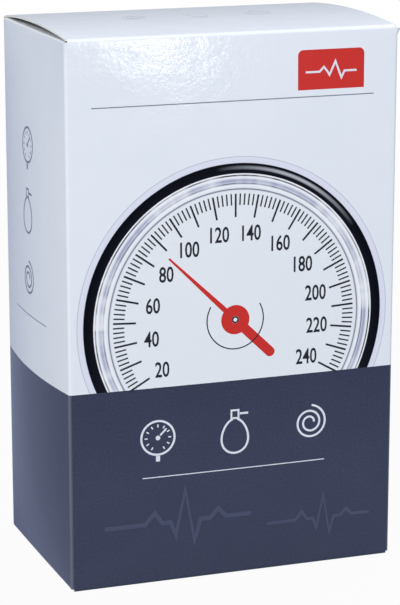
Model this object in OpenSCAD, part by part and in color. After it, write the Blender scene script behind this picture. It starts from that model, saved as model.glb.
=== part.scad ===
// Boxed aneroid sphygmomanometer: a tuck-end folding carton that holds a gauge,
// an inflation bulb with its release valve, and a rolled arm cuff.
// Origin at the middle of the base, X across the front, Y towards the back, Z up.

/* [Carton] */
// Depth of the side panels
carton_d = 80; // [66:1:110]
// Height from the base to the lid's fold
carton_h = 203; // [180:1:260]
// Room between the rolled cuff and the gauge; the width of the front follows from it
middle_gap = 6.6; // [5:0.1:40]
// Thickness of the folding board
board_t = 0.6; // [0.4:0.1:0.8]
// Outer radius of the upright folds
fold_r = 1.2; // [0.8:0.1:2]
// How far the side panels bulge at mid height
side_bow = 3; // [0:0.5:4]
// How far the front and back panels bulge at mid height
face_bow = 0.8; // [0:0.1:2]
// Rise of the lid between its two folds
lid_dome = 1.8; // [0.5:0.1:3]
// Length of the tuck flap
tuck_len = 15; // [11:1:18]
// Length of each dust flap
dust_len = 38; // [20:1:44]
// How far the tuck flap leans inwards
tuck_lean = 10; // [8:1:14]

/* [Insert] */
// Room between the top of the cuff and the deck's top
deck_room = 4.4; // [4:0.1:10]
// Clearance round a piece that sits in the insert
seat_gap = 0.8; // [0.4:0.1:2]

/* [Gauge] */
// Radius of the pressure capsule; the case and the bezel fit round it
capsule_r = 17.5; // [14:0.5:21]
// Wall and floor of the gauge case
case_wall = 1.4; // [1.2:0.1:1.8]
// How far the bezel stands out past the case
bezel_over = 3; // [2.5:0.1:4]
// Gear module
gear_m = 0.3; // [0.25:0.01:0.36]
// Sweep of the pointer from zero to full scale, in degrees
pointer_sweep = 336; // [300:1:336]

/* [Bulb] */
// Largest radius of the bulb
bulb_r = 25; // [20:0.5:30]
// Length of the rubber bulb
bulb_len = 80; // [66:1:96]
// Wall of the bulb
bulb_wall = 2.4; // [1.6:0.1:3]

/* [Cuff] */
// Width of the cuff, which is the height of the roll
cuff_w = 140; // [116:1:150]
// Thickness of the cuff with its bladder
cuff_t = 3.9; // [3.3:0.1:4.7]
// Thickness of each fastening patch
patch_t = 0.6; // [0.4:0.1:0.8]
// Radius inside the first turn of the roll
roll_in = 5; // [4.2:0.1:6]
// Free room between one turn and the next
turn_room = 0.3; // [0.2:0.1:0.6]

/* [Hidden] */
$fn = 64;

half_d = carton_d / 2;
in_d = half_d - board_t;

// Bottom: three layers that lock into one another
layer_gap = 0.1;
mid_layer = board_t + layer_gap;
top_layer = 2 * mid_layer;
floor_z = top_layer + board_t + 0.2;
tongue_w = 44;
lock_past = 9.6;

// Cuff: each turn leaves room for both patches, and the roll fills the carton's depth
roll_halves = 7;
bladder_t = 1.5;
ring_wire = 1.5;
hem = 9;
end_gap = 2.6;
roll_pitch = cuff_t + 2 * patch_t + turn_room;
roll_out = roll_in + roll_pitch * roll_halves / 2 + cuff_t;
roll_flat = 2 * (in_d - end_gap - roll_out);
roll_z = floor_z;

// Movement: the sector's arbor stands behind the pinion, and the posts stand round the capsule
pinion_teeth = 10;
sector_teeth = 110;
pinion_pitch = gear_m * pinion_teeth / 2;
sector_pitch = gear_m * sector_teeth / 2;
arbor_y = pinion_pitch + sector_pitch;
sector_sweep = pointer_sweep * pinion_teeth / sector_teeth;
post_r = 2;
post_ring = capsule_r + post_r + 2.1;
post_angles = [35, 145, 215, 325];
arbor_pad = 3.2;

// Gauge radii: the case clears the posts and the plate round the sector's arbor
case_in = max(post_ring + post_r + 1, arbor_y + arbor_pad + 0.8);
case_r = case_in + case_wall;
bezel_r = case_r + bezel_over;
ledge_in = case_in - 2.4;
dial_r = case_in - 0.3;
dial_screw_ring = ledge_in + 1.1;

// Gauge stack, measured from the outside of the case's back
stud_h = 3;
stud_top = case_wall + stud_h;
capsule_h = 4.6;
capsule_top = stud_top + capsule_h;
rock_z = capsule_top + 3.6;
plate_t = 1;
lower_z = rock_z + 1.8;
plate_gap = 5.4;
upper_z = lower_z + plate_t + plate_gap;
ledge_z = upper_z + plate_t + 0.6;
ledge_t = 1;
dial_t = 0.6;
dial_z = ledge_z + ledge_t;
rim_z = dial_z + 4;
crystal_t = 1.6;
gasket_t = 0.8;
crystal_z = rim_z + gasket_t;
bezel_seat = ledge_z - 1;
bezel_lip = 1.2;
bezel_top = crystal_z + crystal_t + 0.1 + bezel_lip;
nipple_r = 1.5;
nipple_z = stud_top - 0.1 - nipple_r;
nipple_bore = 0.9;
tail_gap = 1.8;
seal_gap = 0.04;
skin_t = 0.25;
rim_plane = stud_top + capsule_h / 2 - 0.5;

// Heights and reaches inside the movement
sector_t = 0.8;
sector_z = lower_z + plate_t + 2.4;
drive_r = 3.1;
drive_pin_r = 0.35;
finger_len = sector_z - 0.12 - rock_z;
rock_x = 0.9;
rock_arm = 4.5;
rock_lean = 11.8;
rock_r = 0.7;
finger_y = arbor_y - drive_r;
arbor_r = 0.5;
pivot_gap = 0.04;
spring_z = sector_z + sector_t + 1;
pillar_at = [[-8.5, -6], [8.5, -6], [-9, arbor_y - 1.5], [9, arbor_y - 1.5]];

// Bulb stack, from the intake valve up to the knob
intake_z = floor_z;
flange_t = 2.4;
bulb_z = intake_z + flange_t;
neck_r = 6;
plug_r = 4.4;
bulb_top = bulb_z + bulb_len;
valve_z = bulb_top + 0.1;
valve_r = 6;
valve_h = 18;
knob_r = 8;
knob_h = 8;
knob_z = valve_z + valve_h + 2;
knob_top = knob_z + knob_h + 0.8;
ball_r = 1.5;
ball_lift = 0.8;
needle_lift = 0.75;

// Layout: the cuff stands at the left, and the gauge sits over the bulb at the right
left_gap = 3.4;
right_gap = 2.2;
side_r = max(bezel_r, bulb_r + 1);
in_w = (left_gap + 2 * roll_out + middle_gap + 2 * side_r + right_gap) / 2;
half_w = in_w + board_t;
carton_w = 2 * half_w;
roll_x = -in_w + left_gap + roll_out;
gauge_x = in_w - right_gap - side_r;
bulb_x = gauge_x;
divider_x = (roll_x + roll_out + gauge_x - bulb_r) / 2;
leg_gap = 0.5;

// The deck clears the cuff, and the gauge that hangs in it clears the knob
deck_top = max(roll_z + cuff_w + deck_room, knob_top + 3 + bezel_seat);
deck_under = deck_top - board_t;
gauge_z = deck_top - bezel_seat;

// Folds: each flap turns on a bead that is concentric with its fold line
bead_r = board_t;
fold_gap = 0.1;
flap_gap = 0.5;
lid_axis_y = -half_d + bead_r;
lid_axis_z = carton_h - bead_r;
lid_inset = 0.7;
tuck_gap = 0.3;
tuck_axis_y = in_d - tuck_gap - bead_r;
tuck_inset = 5;
tuck_corner = 10;
dust_gap = 0.2;
dust_axis_x = in_w;
dust_axis_z = carton_h - 2 * board_t - dust_gap;
side_top = dust_axis_z - bead_r - fold_gap;
back_top = carton_h - 0.4;

// Panels and flaps

// The rise of a bulging panel at u across and v up, both from -1 to 1
function bulge(u, v) = (1 - u * u) * (1 - pow(v, 4));

function panel_ring(width, bow, v, cols) = let (
    c = width / 2 - fold_r,
    arcs = [for (side = [-1, 1]) [for (i = [0:2])
        let (a = side < 0 ? 45 - 22.5 * i : 22.5 * i)
        [[side * (c + fold_r * sin(a)), fold_r - fold_r * cos(a)],
         [side * (c + (fold_r - board_t) * sin(a)), fold_r - (fold_r - board_t) * cos(a)]]]],
    flat = [for (i = [1:cols - 1])
        let (u = 2 * i / cols - 1, y = -bow * bulge(u, v))
        [[u * c, y], [u * c, y + board_t]]],
    pairs = concat(arcs[0], flat, arcs[1])
) concat([for (p = pairs) p[0]], [for (i = [len(pairs) - 1:-1:0]) pairs[i][1]]);

// An upright panel that bulges towards -Y, with half of each upright fold at its two sides
module panel(width, height, bow, cols = 8, rows = 8) {
    rings = [for (j = [0:rows]) panel_ring(width, bow, 2 * j / rows - 1, cols)];
    n = len(rings[0]);
    points = [for (j = [0:rows]) for (p = rings[j]) [p[0], p[1], height * j / rows]];
    sides = [for (j = [0:rows - 1]) for (i = [0:n - 1]) let (
        k = (i + 1) % n, a = j * n + i, b = j * n + k, c = a + n, d = b + n
    ) each [[a, c, b], [b, c, d]]];
    caps = [for (i = [0:n / 2 - 2]) let (
        a = i, b = i + 1, c = n - 2 - i, d = n - 1 - i, top = rows * n
    ) each [[a, b, c], [a, c, d], [top + a, top + c, top + b], [top + a, top + d, top + c]]];
    polyhedron(points, concat(sides, caps));
}

// The front panel's upper edge is the round fold that the lid turns on
module front_panel() {
    fold_w = carton_w - 2 * fold_r;
    color("#dfe5ee") {
        translate([0, -half_d, 0]) panel(carton_w, lid_axis_z, face_bow);
        translate([-fold_w / 2, lid_axis_y, lid_axis_z]) rotate([0, 90, 0]) cylinder(r = bead_r, h = fold_w);
    }
}

module back_panel() {
    color("#dfe5ee") rotate(180) translate([0, -half_d, 0]) panel(carton_w, back_top, face_bow);
}

module left_panel() {
    color("#c9d2e2") rotate(-90) translate([0, -half_w, 0]) panel(carton_d, side_top, side_bow);
}

module right_panel() {
    color("#c9d2e2") rotate(90) translate([0, -half_w, 0]) panel(carton_d, side_top, side_bow);
}

// The glued seam: a tapered strip from the left panel, inside the back panel
module glue_flap() {
    seam_w = 14;
    low = floor_z + 4;
    high = carton_h - tuck_len - 4;
    color("#d7dce6") translate([-in_w + fold_r, in_d - 0.02, 0]) rotate([90, 0, 0])
        linear_extrude(board_t)
            polygon([[0, low], [seam_w, low + 8], [seam_w, high - 8], [0, high]]);
}

// Two flaps share this outline: full width at the fold, cut back where the tuck flap passes
module dust_flap() {
    shoulder = 4.5;
    back_full = tuck_axis_y - bead_r - 0.4;
    back_cut = tuck_axis_y - bead_r - tuck_len * sin(tuck_lean) - flap_gap;
    front_full = lid_axis_y + bead_r + flap_gap;
    corner = 6;
    rotate([90, 0, 0]) translate([0, 0, -back_full])
        cylinder(r = bead_r, h = back_full - front_full);
    linear_extrude(board_t) {
        polygon([
            [0, front_full], [3, front_full + 0.6], [dust_len - corner, front_full + 4],
            [dust_len, front_full + 4 + corner], [dust_len, back_cut - 1.6 - corner],
            [dust_len - corner, back_cut - 1.6], [shoulder + 2, back_cut],
            [shoulder, back_full], [0, back_full]
        ]);
        for (y = [front_full + 4 + corner, back_cut - 1.6 - corner])
            translate([dust_len - corner, y]) circle(corner);
    }
}

module dust_flap_left() {
    color("#e6eaf1") translate([-dust_axis_x, 0, dust_axis_z]) dust_flap();
}

module dust_flap_right() {
    color("#e6eaf1") translate([dust_axis_x, 0, dust_axis_z]) mirror([1, 0, 0]) dust_flap();
}

// A sheet that arches between its two folds, as an arc swept across the carton
module top_lid() {
    span = tuck_axis_y - lid_axis_y;
    arc_r = span * span / 8 / lid_dome + lid_dome / 2;
    mid_y = (tuck_axis_y + lid_axis_y) / 2;
    lid_w = carton_w - 2 * lid_inset;
    edge = bead_r + fold_gap;
    color("#d7dce6") translate([-lid_w / 2, 0, 0]) rotate([90, 0, 90]) linear_extrude(lid_w)
        intersection() {
            translate([mid_y, lid_axis_z + bead_r + lid_dome - arc_r]) difference() {
                circle(arc_r, $fn = 720);
                circle(arc_r - board_t, $fn = 720);
            }
            translate([lid_axis_y + edge, lid_axis_z - 1]) square([span - 2 * edge, 2 + bead_r + lid_dome]);
        }
}

// The tuck flap: round lower corners, and a slit at each side that grips a dust flap
module tuck_flap() {
    width = carton_w - 2 * tuck_inset;
    slit = 6;
    color("#e6eaf1") translate([0, tuck_axis_y, lid_axis_z]) {
        translate([-width / 2 - 2, 0, 0]) rotate([0, 90, 0]) cylinder(r = bead_r, h = width + 4);
        rotate([-tuck_lean, 0, 0]) translate([0, bead_r, 0]) rotate([90, 0, 0])
            linear_extrude(board_t) difference() {
                union() {
                    translate([-width / 2, tuck_corner - tuck_len])
                        square([width, tuck_len - tuck_corner]);
                    translate([-width / 2 + tuck_corner, -tuck_len])
                        square([width - 2 * tuck_corner, tuck_len]);
                    for (side = [-1, 1]) translate([side * (width / 2 - tuck_corner), tuck_corner - tuck_len])
                        circle(tuck_corner);
                }
                translate([-width, 0]) square([2 * width, tuck_corner]);
                for (side = [-1, 1]) translate([side * (width / 2 - slit / 2 + 0.5), -1.8])
                    square([slit + 1, 0.5], center = true);
            }
    }
}

// An outline whose outer corners the cutting die has rounded
module die_cut(corner) {
    offset(r = corner) offset(delta = -corner) children();
}

// The last flap to close, outermost, with a tongue that locks over the back flap's notch
module bottom_flap_front() {
    reach = half_d + lock_past;
    side = tongue_w / 2;
    color("#e6eaf1") translate([0, -half_d + fold_r, 0]) linear_extrude(board_t)
        die_cut(2) polygon([
            [-half_w + fold_r, 0], [half_w - fold_r, 0], [half_w - 9, 22], [side + 2, 26],
            [side, reach], [-side, reach], [-side - 2, 26], [-half_w + 9, 22]
        ]);
}

module bottom_flap_back() {
    reach = half_d + lock_past;
    notch_w = tongue_w + 2;
    color("#e6eaf1") translate([0, in_d - 0.1, top_layer]) linear_extrude(board_t) difference() {
        die_cut(2) polygon([[-in_w + 0.5, 0], [in_w - 0.5, 0], [in_w - 4, -reach], [-in_w + 4, -reach]]);
        translate([-notch_w / 2, -reach - 1]) square([notch_w, 2 * lock_past - 0.2]);
    }
}

// A side flap reaches just past the tongue's side, so that the bottom is closed
module bottom_side_flap() {
    reach = in_w - tongue_w / 2 + 1.1;
    color("#e6eaf1") translate([0, 0, mid_layer]) linear_extrude(board_t)
        die_cut(2) polygon([
            [0, -in_d + 0.5], [0, in_d - 0.5], [reach - 12, in_d - 6], [reach, 6],
            [reach, -in_d + 22], [20, -in_d + 2]
        ]);
}

module bottom_flap_left() {
    translate([-in_w + 0.1, 0, 0]) bottom_side_flap();
}

module bottom_flap_right() {
    translate([in_w - 0.1, 0, 0]) mirror([1, 0, 0]) bottom_side_flap();
}

// Insert

// A window with round ends that shows the end of the rolled cuff
module roll_window(radius) {
    for (side = [-1, 1]) translate([0, side * roll_flat / 2]) circle(radius);
    square([2 * radius, roll_flat], center = true);
}

// One folded board: a deck with a window for the cuff, a hole for the gauge and two legs
module insert_deck() {
    deck_w = 2 * (in_w - leg_gap);
    deck_d = 2 * (in_d - 1.6);
    color("#cfc6b4") {
        translate([0, 0, deck_under]) linear_extrude(board_t) difference() {
            square([deck_w, deck_d], center = true);
            translate([roll_x, 0]) roll_window(roll_out - 6);
            translate([gauge_x, 0]) circle(case_r + seat_gap);
            translate([gauge_x, -deck_d / 2]) square([14, 8], center = true);
        }
        for (side = [-1, 1]) translate([side * (deck_w / 2 - board_t / 2), 0, (floor_z + deck_under) / 2])
            cube([board_t, deck_d - 4, deck_under - floor_z + 0.02], center = true);
    }
}

// The partition between the cuff and the bulb, with a scoop in its top edge
module insert_divider() {
    width = 2 * (in_d - 1.2);
    height = deck_under - 0.1 - floor_z;
    color("#cfc6b4") translate([divider_x + board_t / 2, 0, floor_z]) rotate([90, 0, -90])
        linear_extrude(board_t) difference() {
            translate([-width / 2, 0]) square([width, height]);
            translate([0, height + 14]) circle(24);
        }
}

// Gauge

module at_gauge() {
    translate([gauge_x, 0, gauge_z]) children();
}

// The case: a turned cup with a ledge for the dial and a boss for the hose nipple
module gauge_case() {
    edge = 2.5;
    boss_r = 4.2;
    color("#3b3f46") at_gauge() difference() {
        union() {
            rotate_extrude() difference() {
                union() {
                    translate([0, edge]) square([case_r, rim_z - edge]);
                    square([case_r - edge, edge]);
                    translate([case_r - edge, edge]) circle(edge);
                }
                translate([0, case_wall]) square([case_in, ledge_z - case_wall]);
                translate([0, ledge_z - 1]) square([ledge_in, rim_z]);
                translate([0, dial_z]) square([case_in, rim_z]);
                translate([-case_r, 0]) square([case_r, rim_z]);
            }
            translate([0, -case_in + 0.4, nipple_z + 1.2]) rotate([90, 0, 0]) cylinder(r = boss_r, h = 4);
        }
        translate([0, 0, nipple_z]) rotate([90, 0, 0]) cylinder(r = nipple_r + seal_gap, h = case_r + 6);
        translate([-10, -case_r - 6, -5]) cube([20, 12, 5]);
        for (a = [0, 180]) rotate(a) translate([dial_screw_ring, 0, ledge_z - 1])
            cylinder(r = 0.55, h = 4, $fn = 24);
    }
}

// A barbed hose tail, screwed into the case and sealed in the capsule's stud
module hose_nipple() {
    start = case_r + 2.2;
    tail = in_d - tail_gap - start - 1;
    barbs = floor((tail - 1.1) / 2.4);
    color("#b8a25a") at_gauge() translate([0, 0, nipple_z]) rotate([90, 0, 0]) difference() {
        union() {
            translate([0, 0, 7]) cylinder(r = nipple_r, h = start - 7);
            translate([0, 0, start]) cylinder(r = 3.4, h = 1.2, $fn = 6);
            translate([0, 0, start + 1]) cylinder(r = 1.9, h = tail);
            for (i = [0:1:barbs - 1]) translate([0, 0, start + 2.2 + 2.4 * i])
                cylinder(r1 = 2.7, r2 = 1.9, h = 2.3);
        }
        translate([0, 0, 6]) cylinder(r = nipple_bore, h = start + 10);
    }
}

// The stud that carries the capsule and leads the pressure up into it
module capsule_stud() {
    color("#b8a25a") at_gauge() difference() {
        union() {
            translate([0, 0, case_wall]) cylinder(r = 5.5, h = stud_h);
            translate([-3, -8.4, case_wall]) cube([6, 8, stud_h - 0.1]);
            translate([0, 0, stud_top]) cylinder(r = 2, h = 0.5);
        }
        translate([0, -6.9, nipple_z]) rotate([90, 0, 0]) cylinder(r = nipple_r + seal_gap, h = 3);
        translate([0, 0.8, nipple_z]) rotate([90, 0, 0]) cylinder(r = nipple_bore, h = 12);
        translate([0, 0, nipple_z]) cylinder(r = 0.8, h = stud_h);
    }
}

// Height of the capsule's wavy skin above its rim at a radius, with waves from hub to rim
function skin_rise(r) = let (
    hub = 5, waves = 4, s = (r - hub) / (capsule_r - 1.2 - hub),
    top = capsule_h / 2 - 0.5, rim = skin_t / 2, wave = 0.35
) s < 0 ? top : s > 1 ? rim : (top - wave) + wave * cos(360 * waves * s) - (top - rim) * pow(s, 8);

// One corrugated skin, open at its hub when it is the lower one
module capsule_skin(hub_hole) {
    steps = 48;
    radii = [for (i = [0:steps]) hub_hole + (capsule_r - hub_hole) * i / steps];
    rotate_extrude() polygon(concat(
        [for (r = radii) [r, skin_rise(r)]],
        [for (i = [steps:-1:0]) [radii[i], skin_rise(radii[i]) - skin_t]]
    ));
}

module capsule_lower() {
    color("#c9a45c") at_gauge() translate([0, 0, rim_plane]) mirror([0, 0, 1]) capsule_skin(2.04);
}

module capsule_upper() {
    color("#c9a45c") at_gauge() translate([0, 0, rim_plane + skin_t]) capsule_skin(0);
}

// The pad on the capsule with its off-centre push pin
module capsule_pin() {
    pad_z = rim_plane + skin_t + capsule_h / 2 - 0.5 + 0.02;
    pin_x = rock_x - rock_arm * cos(rock_lean);
    pin_top = rock_z - rock_arm * sin(rock_lean) - rock_r - 0.25;
    color("#d8d8d2") at_gauge() {
        translate([0, 0, pad_z]) linear_extrude(0.6) {
            circle(2.2);
            translate([pin_x, 0]) circle(1);
            translate([pin_x, -1]) square([-pin_x, 2]);
        }
        translate([pin_x, 0, pad_z + 0.3]) cylinder(r1 = 0.7, r2 = 0.35, h = pin_top - pad_z - 0.3);
    }
}

// Four posts that stand on the case's floor outside the capsule and carry the movement
module movement_posts() {
    color("#b8a25a") at_gauge() for (a = post_angles) rotate(a) translate([post_ring, 0, case_wall]) {
        cylinder(r = post_r, h = lower_z - case_wall);
        cylinder(r = 0.8, h = lower_z + plate_t - case_wall);
    }
}

module plate_outline(extra) {
    corner = 1.2;
    offset(r = corner) offset(delta = -corner) {
        square([20 + extra, 2 * post_ring * sin(35) + 2], center = true);
        for (y = [-7, arbor_y - 1.5]) translate([0, y]) square([22, 7], center = true);
        for (p = pillar_at) translate(p) circle(2.4);
        translate([0, arbor_y]) circle(arbor_pad);
    }
}

// The lower plate: it carries every pivot of the movement, and lugs for the rocking shaft below
module lower_plate() {
    lug_y = [-3.6, finger_y + 0.8];
    color("#b8a25a") at_gauge() difference() {
        union() {
            translate([0, 0, lower_z]) linear_extrude(plate_t) {
                plate_outline(0);
                for (a = post_angles) rotate(a) {
                    translate([post_ring, 0]) circle(2.4);
                    translate([10, -2]) square([post_ring - 10, 4]);
                }
            }
            for (y = lug_y) translate([rock_x - 1.6, y, rock_z - 1.5])
                cube([3.2, 1, lower_z + 0.2 - rock_z + 1.5]);
        }
        for (a = post_angles) rotate(a) translate([post_ring, 0, lower_z - 1]) cylinder(r = 0.84, h = 4, $fn = 24);
        for (p = pillar_at) translate([p[0], p[1], lower_z - 1]) cylinder(r = 0.84, h = 4, $fn = 24);
        translate([0, 0, lower_z - 1]) cylinder(r = arbor_r + pivot_gap, h = 4, $fn = 24);
        translate([0, arbor_y, lower_z - 1]) cylinder(r = arbor_r + pivot_gap, h = 4, $fn = 24);
        translate([rock_x - 3, finger_y - 1, lower_z - 1]) cube([6, 2, plate_t + 2]);
        translate([rock_x, -5, rock_z]) rotate([-90, 0, 0]) cylinder(r = rock_r + pivot_gap, h = arbor_y + 5, $fn = 32);
        for (x = [-6.5, 6.5]) translate([x, 4, lower_z - 1]) cylinder(r = 2.2, h = 4);
    }
}

// The upper plate, which closes the movement and leaves the hairspring in sight
module upper_plate() {
    color("#b8a25a") at_gauge() difference() {
        translate([0, 0, upper_z]) linear_extrude(plate_t) difference() {
            plate_outline(-2);
            translate([0, arbor_y / 2 + 0.6]) circle(3.6);
        }
        for (p = pillar_at) translate([p[0], p[1], upper_z - 1]) cylinder(r = 0.84, h = 4, $fn = 24);
        translate([0, 0, upper_z - 1]) cylinder(r = arbor_r + 0.3 + pivot_gap, h = 4, $fn = 24);
        translate([0, arbor_y, upper_z - 1]) cylinder(r = arbor_r + pivot_gap, h = 4, $fn = 24);
    }
}

module plate_pillars() {
    color("#d0c48c") at_gauge() for (p = pillar_at) translate([p[0], p[1], lower_z + plate_t]) {
        cylinder(r = 1.5, h = plate_gap);
        translate([0, 0, -plate_t]) cylinder(r = 0.8, h = plate_t + 0.5);
    }
}

// Cheese-head screws that hold the upper plate to the pillars
module plate_screws() {
    color("#c9ccd2") at_gauge() for (p = pillar_at) translate([p[0], p[1], upper_z]) difference() {
        union() {
            translate([0, 0, plate_t]) cylinder(r = 1.4, h = 0.55);
            cylinder(r = 0.8, h = plate_t + 0.1);
        }
        translate([-2, -0.2, plate_t + 0.25]) cube([4, 0.4, 1]);
    }
}

// The rocking shaft: one arm rests on the push pin, the upright finger leads the sector
module rocking_shaft() {
    shaft_from = -4.2;
    shaft_to = finger_y + 2.2;
    color("#d8d8d2") at_gauge() translate([rock_x, 0, rock_z]) {
        translate([0, shaft_from, 0]) rotate([-90, 0, 0]) cylinder(r = rock_r, h = shaft_to - shaft_from, $fn = 32);
        rotate([0, -rock_lean, 0]) {
            translate([-rock_arm - 0.9, -0.8, -rock_r]) cube([rock_arm + 0.9, 1.6, 0.6]);
            translate([-0.35, finger_y - 0.4, 0]) cube([0.7, 0.8, finger_len]);
        }
    }
}

// Points of straight-sided teeth, root to tip and back again; half widths are in modules
function teeth(count, places, r, at_root, at_pitch, at_tip) = let (
    root = r - 1.133 * gear_m, tip = r + 0.733 * gear_m
) [
    for (k = places) let (a = 360 / count * k)
        for (p = [[root, -at_root], [r, -at_pitch], [tip, -at_tip], [tip, at_tip], [r, at_pitch], [root, at_root]])
            let (b = a + p[1] * gear_m / p[0] * 180 / PI) [p[0] * cos(b), p[0] * sin(b)]
];

// The sector: a toothed rim on three spokes, with a bush on its arbor and an upright drive pin
module sector_gear() {
    first = -12;
    last = 3;
    step = 360 / sector_teeth;
    rim = teeth(sector_teeth, [first:last], sector_pitch, 0.8, 0.633, 0.3);
    inner = sector_pitch - 2;
    arc = [for (k = [last:-1:first]) [inner * cos(step * k), inner * sin(step * k)]];
    drive_at = -90 - sector_sweep / 2;
    color("#d2b765") at_gauge() translate([0, arbor_y, 0]) {
        translate([0, 0, sector_z]) linear_extrude(sector_t) {
            rotate(-90) {
                polygon(concat(rim, arc));
                for (k = [first + 0.8, (first + last) / 2, last - 0.8]) rotate(step * k)
                    translate([2, -0.5]) square([inner - 1.6, 1]);
            }
            circle(2.6);
            rotate(drive_at) translate([drive_r, 0]) circle(0.9);
        }
        translate([0, 0, lower_z + plate_t + 0.1]) cylinder(r = 1.4, h = sector_z - lower_z - plate_t);
        translate([0, 0, sector_z]) cylinder(r = 1.4, h = upper_z - 0.1 - sector_z);
        translate([0, 0, lower_z + 0.1]) cylinder(r = arbor_r, h = upper_z + plate_t - lower_z - 0.2, $fn = 24);
        rotate(drive_at) translate([drive_r, 0, sector_z - 1.9]) cylinder(r = drive_pin_r, h = 2, $fn = 24);
    }
}

// The pinion and its arbor, which runs up through the dial to carry the pointer
module pinion_arbor() {
    leaf = teeth(pinion_teeth, [0:pinion_teeth - 1], pinion_pitch, 0.667, 0.6, 0.267);
    leaf_z = sector_z - 0.3;
    color("#d8d8d2") at_gauge() {
        translate([0, 0, leaf_z]) linear_extrude(sector_t + 0.6) rotate(90 + 180 / pinion_teeth) polygon(leaf);
        translate([0, 0, lower_z + 0.1]) cylinder(r = arbor_r, h = leaf_z - lower_z, $fn = 24);
        translate([0, 0, leaf_z]) cylinder(r = arbor_r + 0.3, h = dial_z + 1.2 - leaf_z, $fn = 24);
        translate([0, 0, spring_z - 0.3]) cylinder(r = 1.3, h = 1, $fn = 32);
        translate([0, 0, dial_z]) cylinder(r = arbor_r, h = 2.6, $fn = 24);
    }
}

// A flat spiral in evenly spaced turns, as a band between two offsets of its middle line
function spiral_band(r0, pitch, a0, a1, low, high, step) = concat(
    [for (a = [a0:step:a1]) let (r = r0 + pitch * a / 360 + high) [r * cos(a), r * sin(a)]],
    [for (a = [a1:-step:a0]) let (r = r0 + pitch * a / 360 + low) [r * cos(a), r * sin(a)]]
);

module hairspring() {
    color("#6f7f96") at_gauge() translate([0, 0, spring_z]) linear_extrude(0.5)
        polygon(spiral_band(1.5, 1.05, 0, 1800, -0.06, 0.06, 20));
}

// The stud on the upper plate that holds the hairspring's outer end
module hairspring_stud() {
    end_r = 1.5 + 1.05 * 5;
    color("#b8a25a") at_gauge() translate([end_r + 0.75, 0, spring_z - 0.3])
        cylinder(r = 0.65, h = upper_z - spring_z + 0.3, $fn = 24);
}

module dial_plate() {
    color("#f4f4ee") at_gauge() difference() {
        translate([0, 0, dial_z]) cylinder(r = dial_r, h = dial_t, $fn = 96);
        translate([0, 0, dial_z - 1]) cylinder(r = 2, h = 3);
        for (a = [0, 180]) rotate(a) translate([dial_screw_ring, 0, dial_z - 1])
            cylinder(r = 0.6, h = 3, $fn = 24);
    }
}

module dial_screws() {
    color("#c9ccd2") at_gauge() for (a = [0, 180]) rotate(a) translate([dial_screw_ring, 0, 0]) {
        translate([0, 0, dial_z + dial_t]) difference() {
            cylinder(r = 0.9, h = 0.4, $fn = 24);
            translate([-1, -0.15, 0.2]) cube([2, 0.3, 1]);
        }
        translate([0, 0, ledge_z - 0.5]) cylinder(r = 0.5, h = dial_z + dial_t - ledge_z + 0.6, $fn = 24);
    }
}

// The pointer at the zero mark: needle, counterweight and a hub on the arbor
module pointer() {
    zero_at = 258;
    tip = dial_r - 5;
    color("#c8231c") at_gauge() translate([0, 0, dial_z + 1.4]) difference() {
        union() {
            linear_extrude(0.4) rotate(zero_at) {
                polygon([[-6, -0.9], [-6, 0.9], [0, 0.8], [tip - 3, 0.35], [tip, 0], [tip - 3, -0.35], [0, -0.8]]);
                translate([-6, 0]) circle(1.6, $fn = 32);
            }
            cylinder(r = 2.2, h = 1);
        }
        translate([0, 0, -1]) cylinder(r = arbor_r, h = 2.1, $fn = 24);
    }
}

// A slightly domed window with a flat rim
module crystal() {
    crown = 0.7;
    radius = case_r - 0.4;
    dome_r = case_in - 1.6;
    steps = 10;
    color([0.85, 0.92, 0.95, 0.35]) at_gauge() translate([0, 0, crystal_z]) rotate_extrude($fn = 96)
        polygon(concat(
            [[0, 0], [radius, 0], [radius, crystal_t]],
            [for (i = [steps:-1:0]) let (s = i / steps) [dome_r * s, crystal_t + crown * (1 - s * s)]]
        ));
}

module crystal_gasket() {
    color("#26282c") at_gauge() translate([0, 0, rim_z]) rotate_extrude($fn = 96)
        translate([case_in - 0.6, 0.02]) square([case_wall + 0.2, gasket_t - 0.04]);
}

// The bezel: a rolled ring that clamps the window to the case and rests on the insert
module bezel() {
    lip_in = case_in - 1.4;
    round = 1.6;
    color("#c3c8cf") at_gauge() rotate_extrude($fn = 96) difference() {
        union() {
            translate([lip_in, bezel_seat]) square([bezel_r - lip_in, bezel_top - round - bezel_seat]);
            translate([lip_in + 0.8, bezel_seat]) square([bezel_r - round - lip_in - 0.8, bezel_top - bezel_seat]);
            translate([bezel_r - round, bezel_top - round]) circle(round, $fn = 32);
            translate([lip_in + 0.8, bezel_top - 0.8]) circle(0.8, $fn = 32);
        }
        translate([0, bezel_seat - 1]) square([case_r + 0.05, bezel_top - bezel_lip - bezel_seat + 1]);
    }
}

// Bulb and valves

module at_bulb(z) {
    translate([bulb_x, 0, z]) children();
}

// Half of the bulb's section: an arc that bulges to the full radius between two necks
module bulb_section(inset) {
    half = bulb_len / 2 - inset;
    reach = bulb_len / 2 - 3;
    c = (reach * reach + neck_r * neck_r - bulb_r * bulb_r) / 2 / (bulb_r - neck_r);
    intersection() {
        translate([-c, bulb_len / 2]) circle(c + bulb_r - inset, $fn = 128);
        translate([0, bulb_len / 2 - half]) square([bulb_r, 2 * half]);
    }
}

module bulb() {
    color("#2a2b2f") at_bulb(bulb_z) rotate_extrude($fn = 96) difference() {
        union() {
            bulb_section(0);
            square([neck_r + 0.6, bulb_len]);
        }
        bulb_section(bulb_wall);
        translate([0, -1]) square([plug_r + 0.05, bulb_len + 2]);
    }
}

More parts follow.
